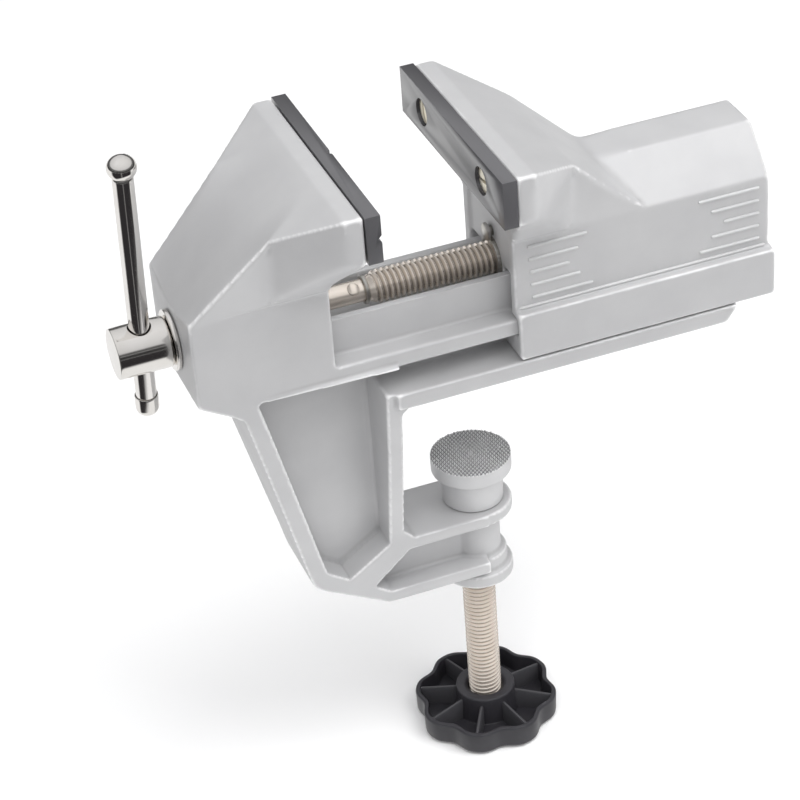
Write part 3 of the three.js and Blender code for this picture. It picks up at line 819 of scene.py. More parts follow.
@dataclass
class Castings:
    """The two castings, with the grip ribs, the ledge's line and the parting line raised on their sides.

    A head is measured behind its plate: flat to flat_u, down to the ridge at ridge_u, and on to the nose.
    """

    finish: bpy.types.Material
    raised: bpy.types.Material
    skin: CastSkin = field(default_factory=CastSkin)
    rib_height: float = 1.15 * MM
    rib_proud: float = 0.75 * MM
    rib_top: float = 48.1 * MM
    rib_pitch: float = 4.9 * MM
    rib_steps: int = 17
    rib_sides: int = 16
    rib_blunt: float = 0.02
    front_start: float = 16.4 * MM
    front_lean: float = 0.22 * MM
    front_ends: tuple[float, ...] = (38.0 * MM, 34.7 * MM, 31.4 * MM, 35.2 * MM, 39.6 * MM)
    rear_end: float = 101.5 * MM
    rear_starts: tuple[float, ...] = (78.7 * MM, 83.4 * MM, 88.0 * MM, 83.5 * MM, 79.0 * MM)
    side: float = 22.0 * MM
    flat_u: float = 6.5 * MM
    ridge_u: float = 26.5 * MM
    ridge_half: float = 28.0 * MM
    ridge_drop: float = 10.0 * MM
    nose_u: float = 54.5 * MM
    crease_z: float = 51.3 * MM
    nose_dip: float = 4.5 * MM
    bend: float = 9.0 * MM
    root_u: float = 42.0 * MM
    root_spread: float = 9.0 * MM
    root_reach: float = 8.0 * MM
    root_soft: float = 0.9
    edge: float = 1.0 * MM
    lead_in: float = 2.0 * MM
    fade: float = 3.0 * MM
    bead_height: float = 0.7 * MM
    bead_proud: float = 0.22 * MM
    bead_sink: float = 0.2 * MM
    bead_ends: Pair = (1.5 * MM, 7.2 * MM)
    ledge_z: float = 25.3 * MM
    ledge_proud: float = 0.8 * MM
    ledge_start: float = 12.4 * MM
    ledge_end: float = 104.0 * MM

    def ribs(self, x0: float, x1: float, z: float, height: float, proud: float) -> list[Surface]:
        """A bar with a half-round section and round ends on each side of a casting, the near side first.

        Point (s, a): x runs from x0 to x1, and the section's half width shrinks as the root of 1 - d^2
        within half a height of either end, where d is the distance into the end.

        Args:
            x0: the start.
            x1: the end.
            z: the height of the middle line.
            height: the width up the side.
            proud: how far it stands out of the side.

        Returns:
            The two shells.
        """
        half = height / 2
        x = x0 + (x1 - x0) * (0.5 - 0.5 * np.cos(np.linspace(0, math.pi, self.rib_steps))[:, None])
        into = np.clip(1 - np.minimum(x - x0, x1 - x) / half, 0, 1)
        size = np.maximum(np.sqrt(1 - into**2), self.rib_blunt)
        angle = circle(self.rib_sides)
        y = self.side + proud * size * np.cos(angle)
        up = z + half * size * np.sin(angle)
        return [tube(np.stack([x + 0 * angle, sign * y, up], axis=-1)) for sign in (-1, 1)]

    def planes(self, u: np.ndarray, top_z: float) -> tuple[np.ndarray, np.ndarray]:
        """The heights of a head's top planes, before and after the ridge, at u behind the plate."""
        ridge_z = top_z - self.ridge_drop
        upper = top_z - self.ridge_drop * (u - self.flat_u) / (self.ridge_u - self.flat_u)
        fall = (ridge_z - self.crease_z) / (self.nose_u - self.ridge_u)
        return upper, ridge_z - fall * (u - self.ridge_u)

    def rounded_top(self, co: np.ndarray, u: np.ndarray, top_z: float) -> np.ndarray:
        """The fixed head's skin with its ridge rounded and its front edge dipped.

        The faceted top is the lower of two planes. Their smooth minimum takes its place, with the radius k
        fading to nothing at the ridge's ends: with h = 0.5 + 0.5 (B - A) / k, it is
        B (1 - h) + A h - k h (1 - h). The front edge dips by d (1 - (y / w)^2)^1.5, growing with the square
        of the distance past the ridge.

        Args:
            co: the skin's points.
            u: their distances behind the plate.
            top_z: the height of the head's flat top.

        Returns:
            The moved points.
        """
        y, z = np.abs(co[:, 1]), co[:, 2]
        upper, lower = self.planes(u, top_z)
        faceted = np.minimum(upper, lower)
        k = self.bend * np.clip(1 - (y / (self.ridge_half - self.edge)) ** 4, 0, 1) + 1e-6
        h = np.clip(0.5 + 0.5 * (lower - upper) / k, 0, 1)
        smooth = lower * (1 - h) + upper * h - k * h * (1 - h)
        on_top = (1 - ramp(np.abs(z - faceted), 0, self.lead_in)) * (z > self.crease_z - self.fade)
        out = co.copy()
        out[:, 2] += (smooth - faceted) * on_top * ramp(u, self.flat_u + self.lead_in, 2 * self.lead_in)
        past = ramp(u, self.ridge_u, self.nose_u - self.ridge_u)
        dip = self.nose_dip * np.clip(1 - (y / self.side) ** 2, 0, 1) ** 1.5 * past**2
        out[:, 2] -= dip * ramp(z, self.crease_z - self.nose_dip - 2 * self.fade, 4 * self.lead_in)
        return out

    def flare(self, co: np.ndarray, u: np.ndarray, top_z: float) -> np.ndarray:
        """A head's softness: 1 under its top, above the crease and outside the body, and less near each."""
        y, z = np.abs(co[:, 1]), co[:, 2]
        below = ramp(np.minimum(*self.planes(u, top_z)) - z, 2 * self.lead_in, self.fade)
        above = ramp(z, self.crease_z + self.edge, self.fade)
        outside = ramp(y, self.side - self.edge / 2, self.fade / 2)
        return below * above * outside * ramp(u, self.lead_in, self.fade)

    def shape_fixed(self, co: np.ndarray) -> tuple[np.ndarray, np.ndarray]:
        """The frame casting's skin: its head's top and flare."""
        low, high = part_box("fixed_jaw_plate")
        u = low.x - co[:, 0]
        return self.rounded_top(co, u, high.z), self.flare(co, u, high.z)

    def shape_moving(self, co: np.ndarray) -> tuple[np.ndarray, np.ndarray]:
        """The moving casting's skin: its flare, and the hollow where the head runs into the housing."""
        _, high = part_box("moving_jaw_plate")
        u = co[:, 0] - high.x
        y, z = np.abs(co[:, 1]), co[:, 2]
        hollow = np.exp(-(((u - self.root_u) / self.root_spread) ** 2))
        near = (z > self.crease_z + self.fade) * (y < self.side + self.root_reach)
        return co, np.maximum(self.flare(co, u, high.z), self.root_soft * hollow * near)

    def raised_lines(self) -> None:
        """Makes the grip ribs and the ledge's line on the housing, and the parting line on the frame."""
        lines = []
        for row, (end, start) in enumerate(zip(self.front_ends, self.rear_starts)):
            z = self.rib_top - row * self.rib_pitch
            front = self.front_start + row * self.front_lean
            lines += self.ribs(front, end, z, self.rib_height, self.rib_proud)
            lines += self.ribs(start, self.rear_end, z, self.rib_height, self.rib_proud)
        lines += self.ribs(self.ledge_start, self.ledge_end, self.ledge_z, self.rib_height, self.ledge_proud)
        # The ribs and lines take the lighter copy of the casting finish, a painted highlight
        dress(piece("housing_ribs", joined(lines)), Body.MOVING_JAW, self.raised, Slot.CASTING)
        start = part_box("thrust_washer")[1].x + self.bead_ends[0]
        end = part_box("fixed_jaw_plate")[0].x - self.bead_ends[1]
        beads = self.ribs(start, end, self.crease_z - self.bead_sink, self.bead_height, self.bead_proud)
        dress(piece("parting_beads", joined(beads)), Body.FRAME, self.raised, Slot.CASTING)

    def build(self) -> None:
        """Makes and dresses the castings and the lines on their sides."""
        fixed = self.skin.make("frame_casting", "cast_frame", self.shape_fixed)
        dress(fixed, Body.FRAME, self.finish, Slot.CASTING, "frame_casting")
        moving = self.skin.make("moving_jaw_casting", "cast_moving_jaw", self.shape_moving)
        dress(moving, Body.MOVING_JAW, self.finish, Slot.CASTING, "moving_jaw_casting")
        self.raised_lines()


@dataclass
class JawPlates:
    """The two black plates and their four slotted screws."""

    plate_finish: bpy.types.Material
    screw_finish: bpy.types.Material
    edge: float = 0.45 * MM
    groove_width: float = 2.6 * MM
    groove_depth: float = 1.3 * MM
    groove_lift: float = 0.6 * MM
    slot_width: float = 1.1 * MM
    slot_depth: float = 0.9 * MM
    slot_wall: float = 0.15 * MM
    dome: float = 0.5 * MM
    head_thick: float = 2.2 * MM
    head_edge: float = 0.3 * MM
    shank: float = 2.0 * MM
    tip: float = 1.2 * MM
    near_turn: float = 98.0
    far_turn: float = 12.0
    fixed_turn: float = 35.0

    def groove(self, along: Vector, across: Vector, centre: Vector, length: float) -> bpy.types.Object:
        """A triangular bar that cuts a V-groove into a face that looks to +X.

        Args:
            along: the groove's direction.
            across: the direction of its width.
            centre: a point on the face.
            length: the bar's length.

        Returns:
            The bar.
        """
        lift = Vector((self.groove_lift, 0, 0))
        half = across * (self.groove_width / 2 * (1 + self.groove_lift / self.groove_depth))
        corners = [centre + lift - half, centre + lift + half, centre - Vector((self.groove_depth, 0, 0))]
        ring = np.array([[c + along * s * length / 2 for c in corners] for s in (-1, 1)], float)
        return piece("groove_tool", tube(ring))

    def plate(self, node: str, name: str, body: Body, grooved: bool) -> None:
        """Copies a plate's node, cuts its grooves, eases its edges and dresses it.

        Args:
            node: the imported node.
            name: the new piece's name.
            body: the body that it moves with.
            grooved: true where the face has a level and an upright V-groove.
        """
        obj = cad_copy(node, name)
        low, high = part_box(node)
        if grooved:
            centre = Vector((high.x, (low.y + high.y) / 2, (low.z + high.z) / 2))
            reach = (high - low).length
            cut_by(obj, self.groove(Vector((0, 1, 0)), Vector((0, 0, 1)), centre, reach))
            cut_by(obj, self.groove(Vector((0, 0, 1)), Vector((0, 1, 0)), centre, reach))
        dress(bevelled(obj, self.edge), body, self.plate_finish, Slot.JAW_PLATE, node)

    def screw(self, node: str, name: str, body: Body, towards: int, slot_angle: float) -> None:
        """A slotted pan head on its shank.

        The head's face is a height over (radius, angle): the length less dome (r / R)^2, and less the slot's
        depth wherever the distance from the slot's middle line is under half its width.

        Args:
            node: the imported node.
            name: the new piece's name.
            body: the body that it moves with.
            towards: 1 where the head looks to +X, and -1 where it looks to -X.
            slot_angle: the slot's turn in degrees.
        """
        low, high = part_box(node)
        radius = (high.z - low.z) / 2
        length = high.x - low.x
        r = np.linspace(radius, 0.02 * radius, 30)[:, None]
        angle = circle(96)
        off = np.abs(r * np.sin(angle - math.radians(slot_angle)))
        sink = np.clip((self.slot_width / 2 - off) / self.slot_wall + 0.5, 0, 1)
        face = rings(r, angle, length - self.dome * (r / radius) ** 2 - self.slot_depth * sink)
        back = length - self.head_thick
        shank, edge = self.shank, self.head_edge
        under = np.array([(0.05 * shank, 0), (0.6 * shank, self.tip / 6), (shank, self.tip), (shank, back),
                          (radius - edge, back), (radius, back + edge)])
        shell = tube(np.concatenate([rings(under[:, :1], angle, under[:, 1:]), face]))
        centre = Vector((low.x if towards > 0 else high.x, (low.y + high.y) / 2, (low.z + high.z) / 2))
        turn = Matrix.Rotation(math.radians(90 * towards), 4, "Y")
        obj = piece(name, shell.moved(Matrix.Translation(centre) @ turn))
        dress(obj, body, self.screw_finish, Slot.PLATE_SCREW, node)

    def build(self) -> None:
        """Makes both plates and the four screws."""
        self.plate("fixed_jaw_plate", "fixed_plate", Body.FRAME, True)
        self.plate("moving_jaw_plate", "moving_plate", Body.MOVING_JAW, False)
        for side, turn in (("near", self.near_turn), ("far", self.far_turn)):
            fixed, moving = f"fixed_plate_screw_{side}", f"moving_plate_screw_{side}"
            self.screw(fixed, f"fixed_screw_{side}", Body.FRAME, 1, turn + self.fixed_turn)
            self.screw(moving, f"moving_screw_{side}", Body.MOVING_JAW, -1, turn)


@dataclass
class LeadScrew:
    """The lead screw with its hub, washers, stop and nut."""

    nickel: bpy.types.Material
    chrome: bpy.types.Material
    steel: bpy.types.Material
    hub_radius: float = 8.7 * MM
    hub_length: float = 18.5 * MM
    hub_ease: float = 0.9 * MM
    hub_chamfer: Pair = (0.2 * MM, 0.6 * MM)
    hub_mouth: float = 0.35 * MM
    cross_from_front: float = 9.6 * MM
    cross_radius: float = 3.95 * MM
    cross_tilt: float = 6.4
    shank_radius: float = 3.9 * MM
    shank_ease: float = 0.2 * MM
    overlap: float = 0.5 * MM
    clearance: float = 0.3 * MM
    thread: Thread = Thread(radius=5.8 * MM, depth=1.3 * MM, pitch=2.0 * MM, lead=3.4 * MM, chamfer=1.6 * MM)
    front_ease: float = 0.35 * MM
    inner_ease: float = 0.2 * MM
    ring_ease: float = 0.3 * MM
    nut_ease: float = 0.5 * MM
    nut_teeth: int = 40
    tooth_depth: float = 0.014
    pin_half: float = 4.38 * MM
    pin_lean: float = 42.0
    pin_dome: float = 0.3
    lock_dome: float = 0.9 * MM
    lock_head: float = 1.6 * MM
    lock_shank: float = 1.5 * MM
    lock_tip: float = 0.4 * MM

    def axis_z(self) -> float:
        """The height of the screw's axis."""
        low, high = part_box("thrust_washer")
        return (low.z + high.z) / 2

    def hub(self, x: float) -> bpy.types.Object:
        """The plain hub with a cross hole for the bar.

        Args:
            x: where its front face is.

        Returns:
            The hub.
        """
        inward, back = self.hub_chamfer
        radius, length, hole = self.hub_radius, self.hub_length, self.cross_radius
        line = [(0, 0), (radius - inward, 0), (radius, back), (radius, length), (0, length)]
        obj = piece("screw_hub", turned(eased(line, self.hub_ease), 96).moved(along_x(x, self.axis_z())))
        reach = 2 * radius
        bar = turned(np.array([(0, -reach), (hole, -reach), (hole, reach), (0, reach)]))
        tilt = Matrix.Rotation(math.radians(self.cross_tilt), 4, "X")
        place = Matrix.Translation((x + self.cross_from_front, 0, self.axis_z()))
        cut_by(obj, piece("hub_tool", bar.moved(place @ tilt)))
        return bevelled(obj, self.hub_mouth, 40.0)

    def rod(self) -> Surface:
        """The plain shank from inside the hub to inside the thread, and the thread itself."""
        low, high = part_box("lead_screw")
        thread_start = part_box("thread_stop_ring")[1].x + self.clearance
        start, end = self.hub_length - self.overlap, thread_start - low.x + self.overlap
        radius = self.shank_radius
        line = eased([(0, start), (radius, start), (radius, end), (0, end)], self.shank_ease)
        shank = turned(line, 48).moved(along_x(low.x, self.axis_z()))
        thread = self.thread.surface(thread_start, high.x)
        return joined([shank, thread.moved(along_x(0, self.axis_z()))])

    def nut(self) -> None:
        """The nut's sleeve, with fine teeth along its outer wall.

        Its section is a closed loop whose outer radius is R (1 - t (0.5 - 0.5 cos(n a))), for n teeth of
        depth t.
        """
        low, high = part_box("lead_nut")
        outer = (high.z - low.z) / 2
        loop = washer_profile(outer, self.thread.radius + self.clearance, high.x - low.x, self.nut_ease)
        angle = circle(6 * self.nut_teeth)
        r, h = loop[:, :1], loop[:, 1:]
        wall = (r > 0.97 * outer) * 1.0
        r = r * (1 - self.tooth_depth * wall * (0.5 - 0.5 * np.cos(self.nut_teeth * angle)))
        shell = tube(rings(r, angle, h), loop_rows=True)
        obj = piece("nut_sleeve", shell.moved(along_x(low.x, self.axis_z())), 50)
        dress(obj, body_of("lead_nut"), self.steel, Slot.STEEL, "lead_nut")

    def washer(self, node: str, name: str, ease: float, material: bpy.types.Material, slot: Slot) -> None:
        """A flat ring in a washer node's place.

        Args:
            node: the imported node.
            name: the new piece's name.
            ease: size of its eased edges.
            material: its finish.
            slot: the record's slot.
        """
        low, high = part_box(node)
        bore = self.shank_radius + self.clearance
        loop = washer_profile((high.z - low.z) / 2, bore, high.x - low.x, ease)
        obj = piece(name, turned(loop, 80, loop=True).moved(along_x(low.x, self.axis_z())))
        dress(obj, body_of(node), material, slot, node)

    def pin(self) -> None:
        """The pin through the shank: low domed ends on a straight bar that leans to the near side.

        Each end's profile is (R sin t, q R (1 - cos t)), with q the dome's share of the radius.
        """
        low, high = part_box("stop_pin")
        radius, length = (high.x - low.x) / 2, 2 * self.pin_half
        t = np.linspace(0, math.pi / 2, 7)
        cap = np.stack([radius * np.sin(t), self.pin_dome * radius * (1 - np.cos(t))], axis=-1)
        profile = np.vstack([cap, np.stack([cap[::-1, 0], length - cap[::-1, 1]], axis=-1)])
        profile[:, 1] -= length / 2
        lean = Matrix.Rotation(math.radians(self.pin_lean), 4, "X")
        place = Matrix.Translation(((low.x + high.x) / 2, 0, self.axis_z())) @ lean
        obj = piece("shank_pin", turned(profile, 32).moved(place))
        dress(obj, body_of("stop_pin"), self.nickel, Slot.STEEL, "stop_pin")

    def lock_screw(self) -> None:
        """The small screw above the nut: a domed head, (R sin t, d (1 - cos t)), on a tapered shank."""
        low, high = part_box("nut_lock_screw")
        radius, length = (high.z - low.z) / 2, high.x - low.x
        t = np.linspace(0, math.pi / 2, 8)
        dome = np.stack([radius * np.sin(t), self.lock_dome * (1 - np.cos(t))], axis=-1)
        head, shank = self.lock_head, self.lock_shank
        rest = np.array([(radius, head), (shank, head), (shank, length - self.lock_tip), (0, length)])
        place = along_x(low.x, (low.z + high.z) / 2)
        obj = piece("nut_screw", turned(np.vstack([dome, rest]), 40).moved(place))
        dress(obj, body_of("nut_lock_screw"), self.steel, Slot.STEEL, "nut_lock_screw")

    def build(self) -> None:
        """Makes the screw, the washers, the stop and the nut."""
        rod = piece("lead_screw_thread", self.rod(), 60)
        dress(rod, Body.LEAD_SCREW, self.nickel, Slot.NICKEL, "lead_screw")
        dress(self.hub(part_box("lead_screw")[0].x), Body.LEAD_SCREW, self.chrome, Slot.CHROME)
        self.washer("thrust_washer", "front_washer", self.front_ease, self.chrome, Slot.CHROME)
        self.washer("rear_washer", "inner_washer", self.inner_ease, self.steel, Slot.STEEL)
        self.washer("thread_stop_ring", "stop_ring", self.ring_ease, self.steel, Slot.STEEL)
        self.pin()
        self.nut()
        self.lock_screw()
        clip = bevelled(cad_copy("retaining_clip", "shank_clip"), self.inner_ease)
        dress(clip, body_of("retaining_clip"), self.steel, Slot.STEEL, "retaining_clip")


@dataclass
class Handle:
    """The sliding bar with its ball and the end cap, both worked out along the bar's own axis."""

    chrome: bpy.types.Material
    bar_radius: float = 3.5 * MM
    ball_radius: float = 4.9 * MM
    ball_half: float = 4.1 * MM
    ball_flat: float = 0.1 * MM
    above: float = 71.6 * MM
    below: float = 24.0 * MM
    neck: Pair = (1.4 * MM, 0.6 * MM)
    cap_radius: float = 4.0 * MM
    cap_wall: float = 4.5 * MM
    cap_gap: float = 0.15 * MM
    cap_under: float = 0.3 * MM
    cap_drops: Triple = (3.0 * MM, 2.3 * MM, 0.8 * MM)
    cap_dimple: float = 0.9 * MM
    cap_ease: float = 0.5 * MM

    def rod(self) -> Surface:
        """The bar and its ball.

        The ball's profile is (R sin t, above - H cos t), from where it leaves the bar with a small neck to
        its flattened top.
        """
        radius, ball_radius = self.bar_radius, self.ball_radius
        t = np.linspace(math.asin(0.86 * radius / ball_radius), math.pi * 0.9, 22)
        ball = np.stack([ball_radius * np.sin(t), self.above - self.ball_half * np.cos(t)], axis=-1)
        straight, pinch = ball[0, 1] - self.neck[0], ball[0, 1] - self.neck[1]
        bar = np.array([(0, -self.below), (radius, -self.below), (radius, straight), (0.97 * radius, pinch)])
        flat = ball[-1, 1] + self.ball_flat
        profile = np.vstack([bar, ball, np.array([(0.2 * ball_radius, flat), (0.0, flat)])])
        profile[:, 1] = np.minimum(profile[:, 1], self.above + self.ball_half)
        return turned(profile)

    def cap(self) -> Surface:
        """The end cap: a cup over the bar's end, with a dimple in the middle of its bottom."""
        radius, inner = self.cap_radius, self.bar_radius + self.cap_gap
        bottom = -self.below - self.cap_under
        wall = bottom + self.cap_wall
        lowest, corner, side = (bottom - drop for drop in self.cap_drops)
        line = [(0, lowest + self.cap_dimple), (self.cap_dimple, lowest + 0.6 * self.cap_dimple),
                (0.5 * radius, lowest), (0.85 * radius, corner), (radius, side), (radius, wall),
                (inner, wall), (inner, bottom), (0, bottom)]
        return turned(eased(line, self.cap_ease))

    def build(self, screw: LeadScrew) -> None:
        """Makes the bar and its cap, leaning through the hub's cross hole.

        Args:
            screw: the lead screw that the bar runs through.
        """
        low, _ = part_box("lead_screw")
        lean = Matrix.Rotation(math.radians(screw.cross_tilt), 4, "X")
        move = Matrix.Translation((low.x + screw.cross_from_front, 0, screw.axis_z())) @ lean
        rod, cap = self.rod().moved(move), self.cap().moved(move)
        dress(piece("handle_rod", rod, 50), Body.HANDLE, self.chrome, Slot.CHROME, "handle_bar")
        dress(piece("handle_cap", cap, 50), Body.HANDLE, self.chrome, Slot.CHROME, "handle_end_cap")


@dataclass
class TableClamp:
    """The knurled pad, the clamp screw and the lobed knob."""

    knurled: bpy.types.Material
    nickel: bpy.types.Material
    plastic: bpy.types.Material
    steel: bpy.types.Material
    brass: bpy.types.Material
    rim: float = 6.2 * MM
    cone: float = 2.0 * MM
    neck_radius: float = 10.9 * MM
    pad_ease: float = 0.6 * MM
    pad_inset: float = 0.05 * MM
    pad_edge: Pair = (0.6 * MM, 0.15 * MM)
    knurl_pitch: float = 1.4 * MM
    knurl_depth: float = 0.75 * MM
    knurl_turn: float = -21.0
    knurl_grid: tuple[int, int] = (110, 400)
    knurl_sharp: float = 1.25
    thread_depth: float = 0.95 * MM
    pitch: float = 1.75 * MM
    thread_end: float = 1.2 * MM
    thread_gap: float = 0.6 * MM
    tip_radius: float = 4.8 * MM
    tip_chamfer: float = 0.6 * MM
    lobes: int = 8
    lobe_depth: float = 2.5 * MM
    lobe_phase: float = 15.0
    lobe_fade: Pair = (2.0 * MM, 5.0 * MM)
    rim_wall: float = 1.8 * MM
    rim_height: float = 9.8 * MM
    boss_radius: float = 10.9 * MM
    floor: float = 2.4 * MM
    bore: float = 6.3 * MM
    knob_ease: float = 0.6 * MM
    fin_half: float = 0.75 * MM
    fin_in: Pair = (1.0 * MM, 0.9 * MM)
    fin_drops: Pair = (2.6 * MM, 0.9 * MM)
    fin_sink: float = 0.6 * MM

    def pad(self) -> None:
        """The pad: a knurled disc on a cone and a neck.

        With (a, b) the turned plane coordinates, u = a + b / sqrt 3 and v = a - b / sqrt 3 in pitches, the
        top's height is the lower of the triangle waves of u and v, so two sets of V-grooves leave pyramids.
        """
        low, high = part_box("clamp_pad")
        radius = (high.x - low.x) / 2
        rows, sides = self.knurl_grid
        angle = circle(sides)
        r = np.linspace(radius - self.pad_inset, 3 * self.pad_inset, rows)[:, None]
        x, y = r * np.cos(angle), r * np.sin(angle)
        turn = math.radians(self.knurl_turn)
        a, b = x * math.cos(turn) + y * math.sin(turn), y * math.cos(turn) - x * math.sin(turn)
        u, v = (a + b / math.sqrt(3)) / self.knurl_pitch, (a - b / math.sqrt(3)) / self.knurl_pitch
        wave = np.minimum(1 - np.abs((u % 1) * 2 - 1), 1 - np.abs((v % 1) * 2 - 1))
        groove = self.knurl_depth * (1 - np.clip(self.knurl_sharp * wave, 0, 1))
        rim_z, root_z = high.z - self.rim, high.z - self.knurl_depth
        outer, upper = self.pad_edge
        neck = self.neck_radius
        line = [(2 * self.pad_inset, low.z), (neck, low.z), (neck, rim_z - self.cone),
                (radius, rim_z), (radius, root_z - outer), (radius, root_z - upper)]
        side = eased(line, self.pad_ease)
        ring = rings(side[:, :1], angle, side[:, 1:])
        shell = tube(np.concatenate([ring, rings(r, angle, high.z - self.pad_inset - groove)]))
        dress(piece("knurled_pad", shell, 20), Body.CLAMP_PAD, self.knurled, Slot.CASTING, "clamp_pad")
        repaint("pad_snap_ring", self.steel)

    def screw(self) -> None:
        """The clamp screw: a threaded rod with a plain tip inside the pad."""
        low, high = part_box("clamp_screw")
        pad_z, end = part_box("clamp_pad")[0].z, self.thread_end
        thread = Thread((high.x - low.x) / 2, self.thread_depth, self.pitch, end, end)
        tip, inside = self.tip_radius, pad_z - self.thread_gap - 1 * MM
        chamfer = self.tip_chamfer
        line = [(0, inside), (tip, inside), (tip, high.z - chamfer), (tip - chamfer, high.z), (0, high.z)]
        parts = joined([thread.surface(low.z, pad_z - self.thread_gap), turned(np.array(line), 40)])
        dress(piece("clamp_thread", parts, 60), Body.CLAMP_SCREW, self.nickel, Slot.NICKEL, "clamp_screw")

    def section(self, low_z: float, high_z: float, radius: float) -> np.ndarray:
        """The knob's section, once round: bottom, rim, floor, boss and bore.

        Args:
            low_z: the knob's bottom.
            high_z: the boss's top.
            radius: the knob's outer radius.

        Returns:
            Rows of radius and height, with the corners eased.
        """
        rim, floor = low_z + self.rim_height, low_z + self.floor
        inner, boss, bore = radius - self.rim_wall, self.boss_radius, self.bore
        line = [(bore, low_z + 0.1 * MM), (radius - 2.2 * MM, low_z), (radius - 0.3 * MM, low_z + 1.3 * MM),
                (radius, rim - 0.6 * MM), (radius - 0.7 * MM, rim), (inner, rim),
                (inner - 0.5 * MM, floor), (boss + 0.6 * MM, floor), (boss, high_z - 0.4 * MM),
                (boss - 0.5 * MM, high_z), (bore + 1.4 * MM, high_z), (bore, high_z - 1.2 * MM),
                (bore, low_z + 0.12 * MM)]
        return eased(line, self.knob_ease, 3)

    def knob(self) -> None:
        """The knob: its section carried round the axis, with the rim following the lobes, and its fins.

        Outside the boss the radius is pulled in by s d (0.5 - 0.5 cos(n (a - phase)))^1.5 between the lobes,
        where the share s grows from the boss to the rim.
        """
        low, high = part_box("clamp_knob")
        radius = (high.x - low.x) / 2
        line = self.section(low.z, high.z, radius)
        angle, phase = circle(256), math.radians(self.lobe_phase)
        near, far = self.lobe_fade
        share = ramp(line[:, :1], self.boss_radius + near, radius - far - self.boss_radius)
        dent = self.lobe_depth * (0.5 - 0.5 * np.cos(self.lobes * (angle - phase))) ** 1.5
        shell = tube(rings(line[:, :1] - share * dent, angle, line[:, 1:]), loop_rows=True)
        dress(piece("knob_shell", shell, 45), Body.CLAMP_SCREW, self.plastic, Slot.KNOB, "clamp_knob")
        turns = phase + 2 * math.pi * np.arange(self.lobes) / self.lobes
        fins = joined([self.fin(turn, low.z, high.z, radius) for turn in turns])
        dress(piece("knob_fins", fins), Body.CLAMP_SCREW, self.plastic, Slot.KNOB)
        repaint("knob_nut", self.brass)

    def fin(self, angle: float, low_z: float, high_z: float, radius: float) -> Surface:
        """One thin rib from the boss to the rim.

        Its section along the radius is a rounded upright bar, and its top falls in a straight line from
        below the boss's top to below the rim's.

        Args:
            angle: where it stands round the axis.
            low_z: the knob's bottom.
            high_z: the boss's top.
            radius: the knob's outer radius.

        Returns:
            The shell.
        """
        s = np.linspace(0, 1, 8)[:, None]
        start = self.boss_radius - self.fin_in[0]
        along = start + s * (radius - self.rim_wall + self.fin_in[1] - start)
        top_start = high_z - self.fin_drops[0]
        top = top_start + s * (low_z + self.rim_height - self.fin_drops[1] - top_start)
        shape = np.array([(-1, 0), (-1, 0.93), (-0.5, 1), (0.5, 1), (1, 0.93), (1, 0)])
        across = self.fin_half * shape[None, :, 0]
        base = low_z + self.floor - self.fin_sink
        height = base + (top - base) * shape[None, :, 1]
        x = along * math.cos(angle) - across * math.sin(angle)
        y = along * math.sin(angle) + across * math.cos(angle)
        return tube(np.stack([x, y, height], axis=-1))

    def build(self) -> None:
        """Makes the clamp's pieces."""
        self.pad()
        self.screw()
        self.knob()


# ---------------------------------------------------------------- studio


@dataclass(frozen=True)
class Lamp:
    """A square area light that bright metal doesn't mirror."""

    name: str
    place: Triple
    size: float
    power: float

    def build(self) -> None:
        """Puts the light into the scene, aimed at the origin."""
        data = bpy.data.lights.new(self.name, "AREA")
        data.shape, data.size, data.energy = "SQUARE", self.size, self.power
        obj = bpy.data.objects.new(self.name, data)
        obj.location = self.place
        obj.rotation_mode = "QUATERNION"
        obj.rotation_quaternion = (-Vector(self.place)).to_track_quat("-Z", "Y")
        obj.visible_glossy = False
        bpy.context.scene.collection.objects.link(obj)


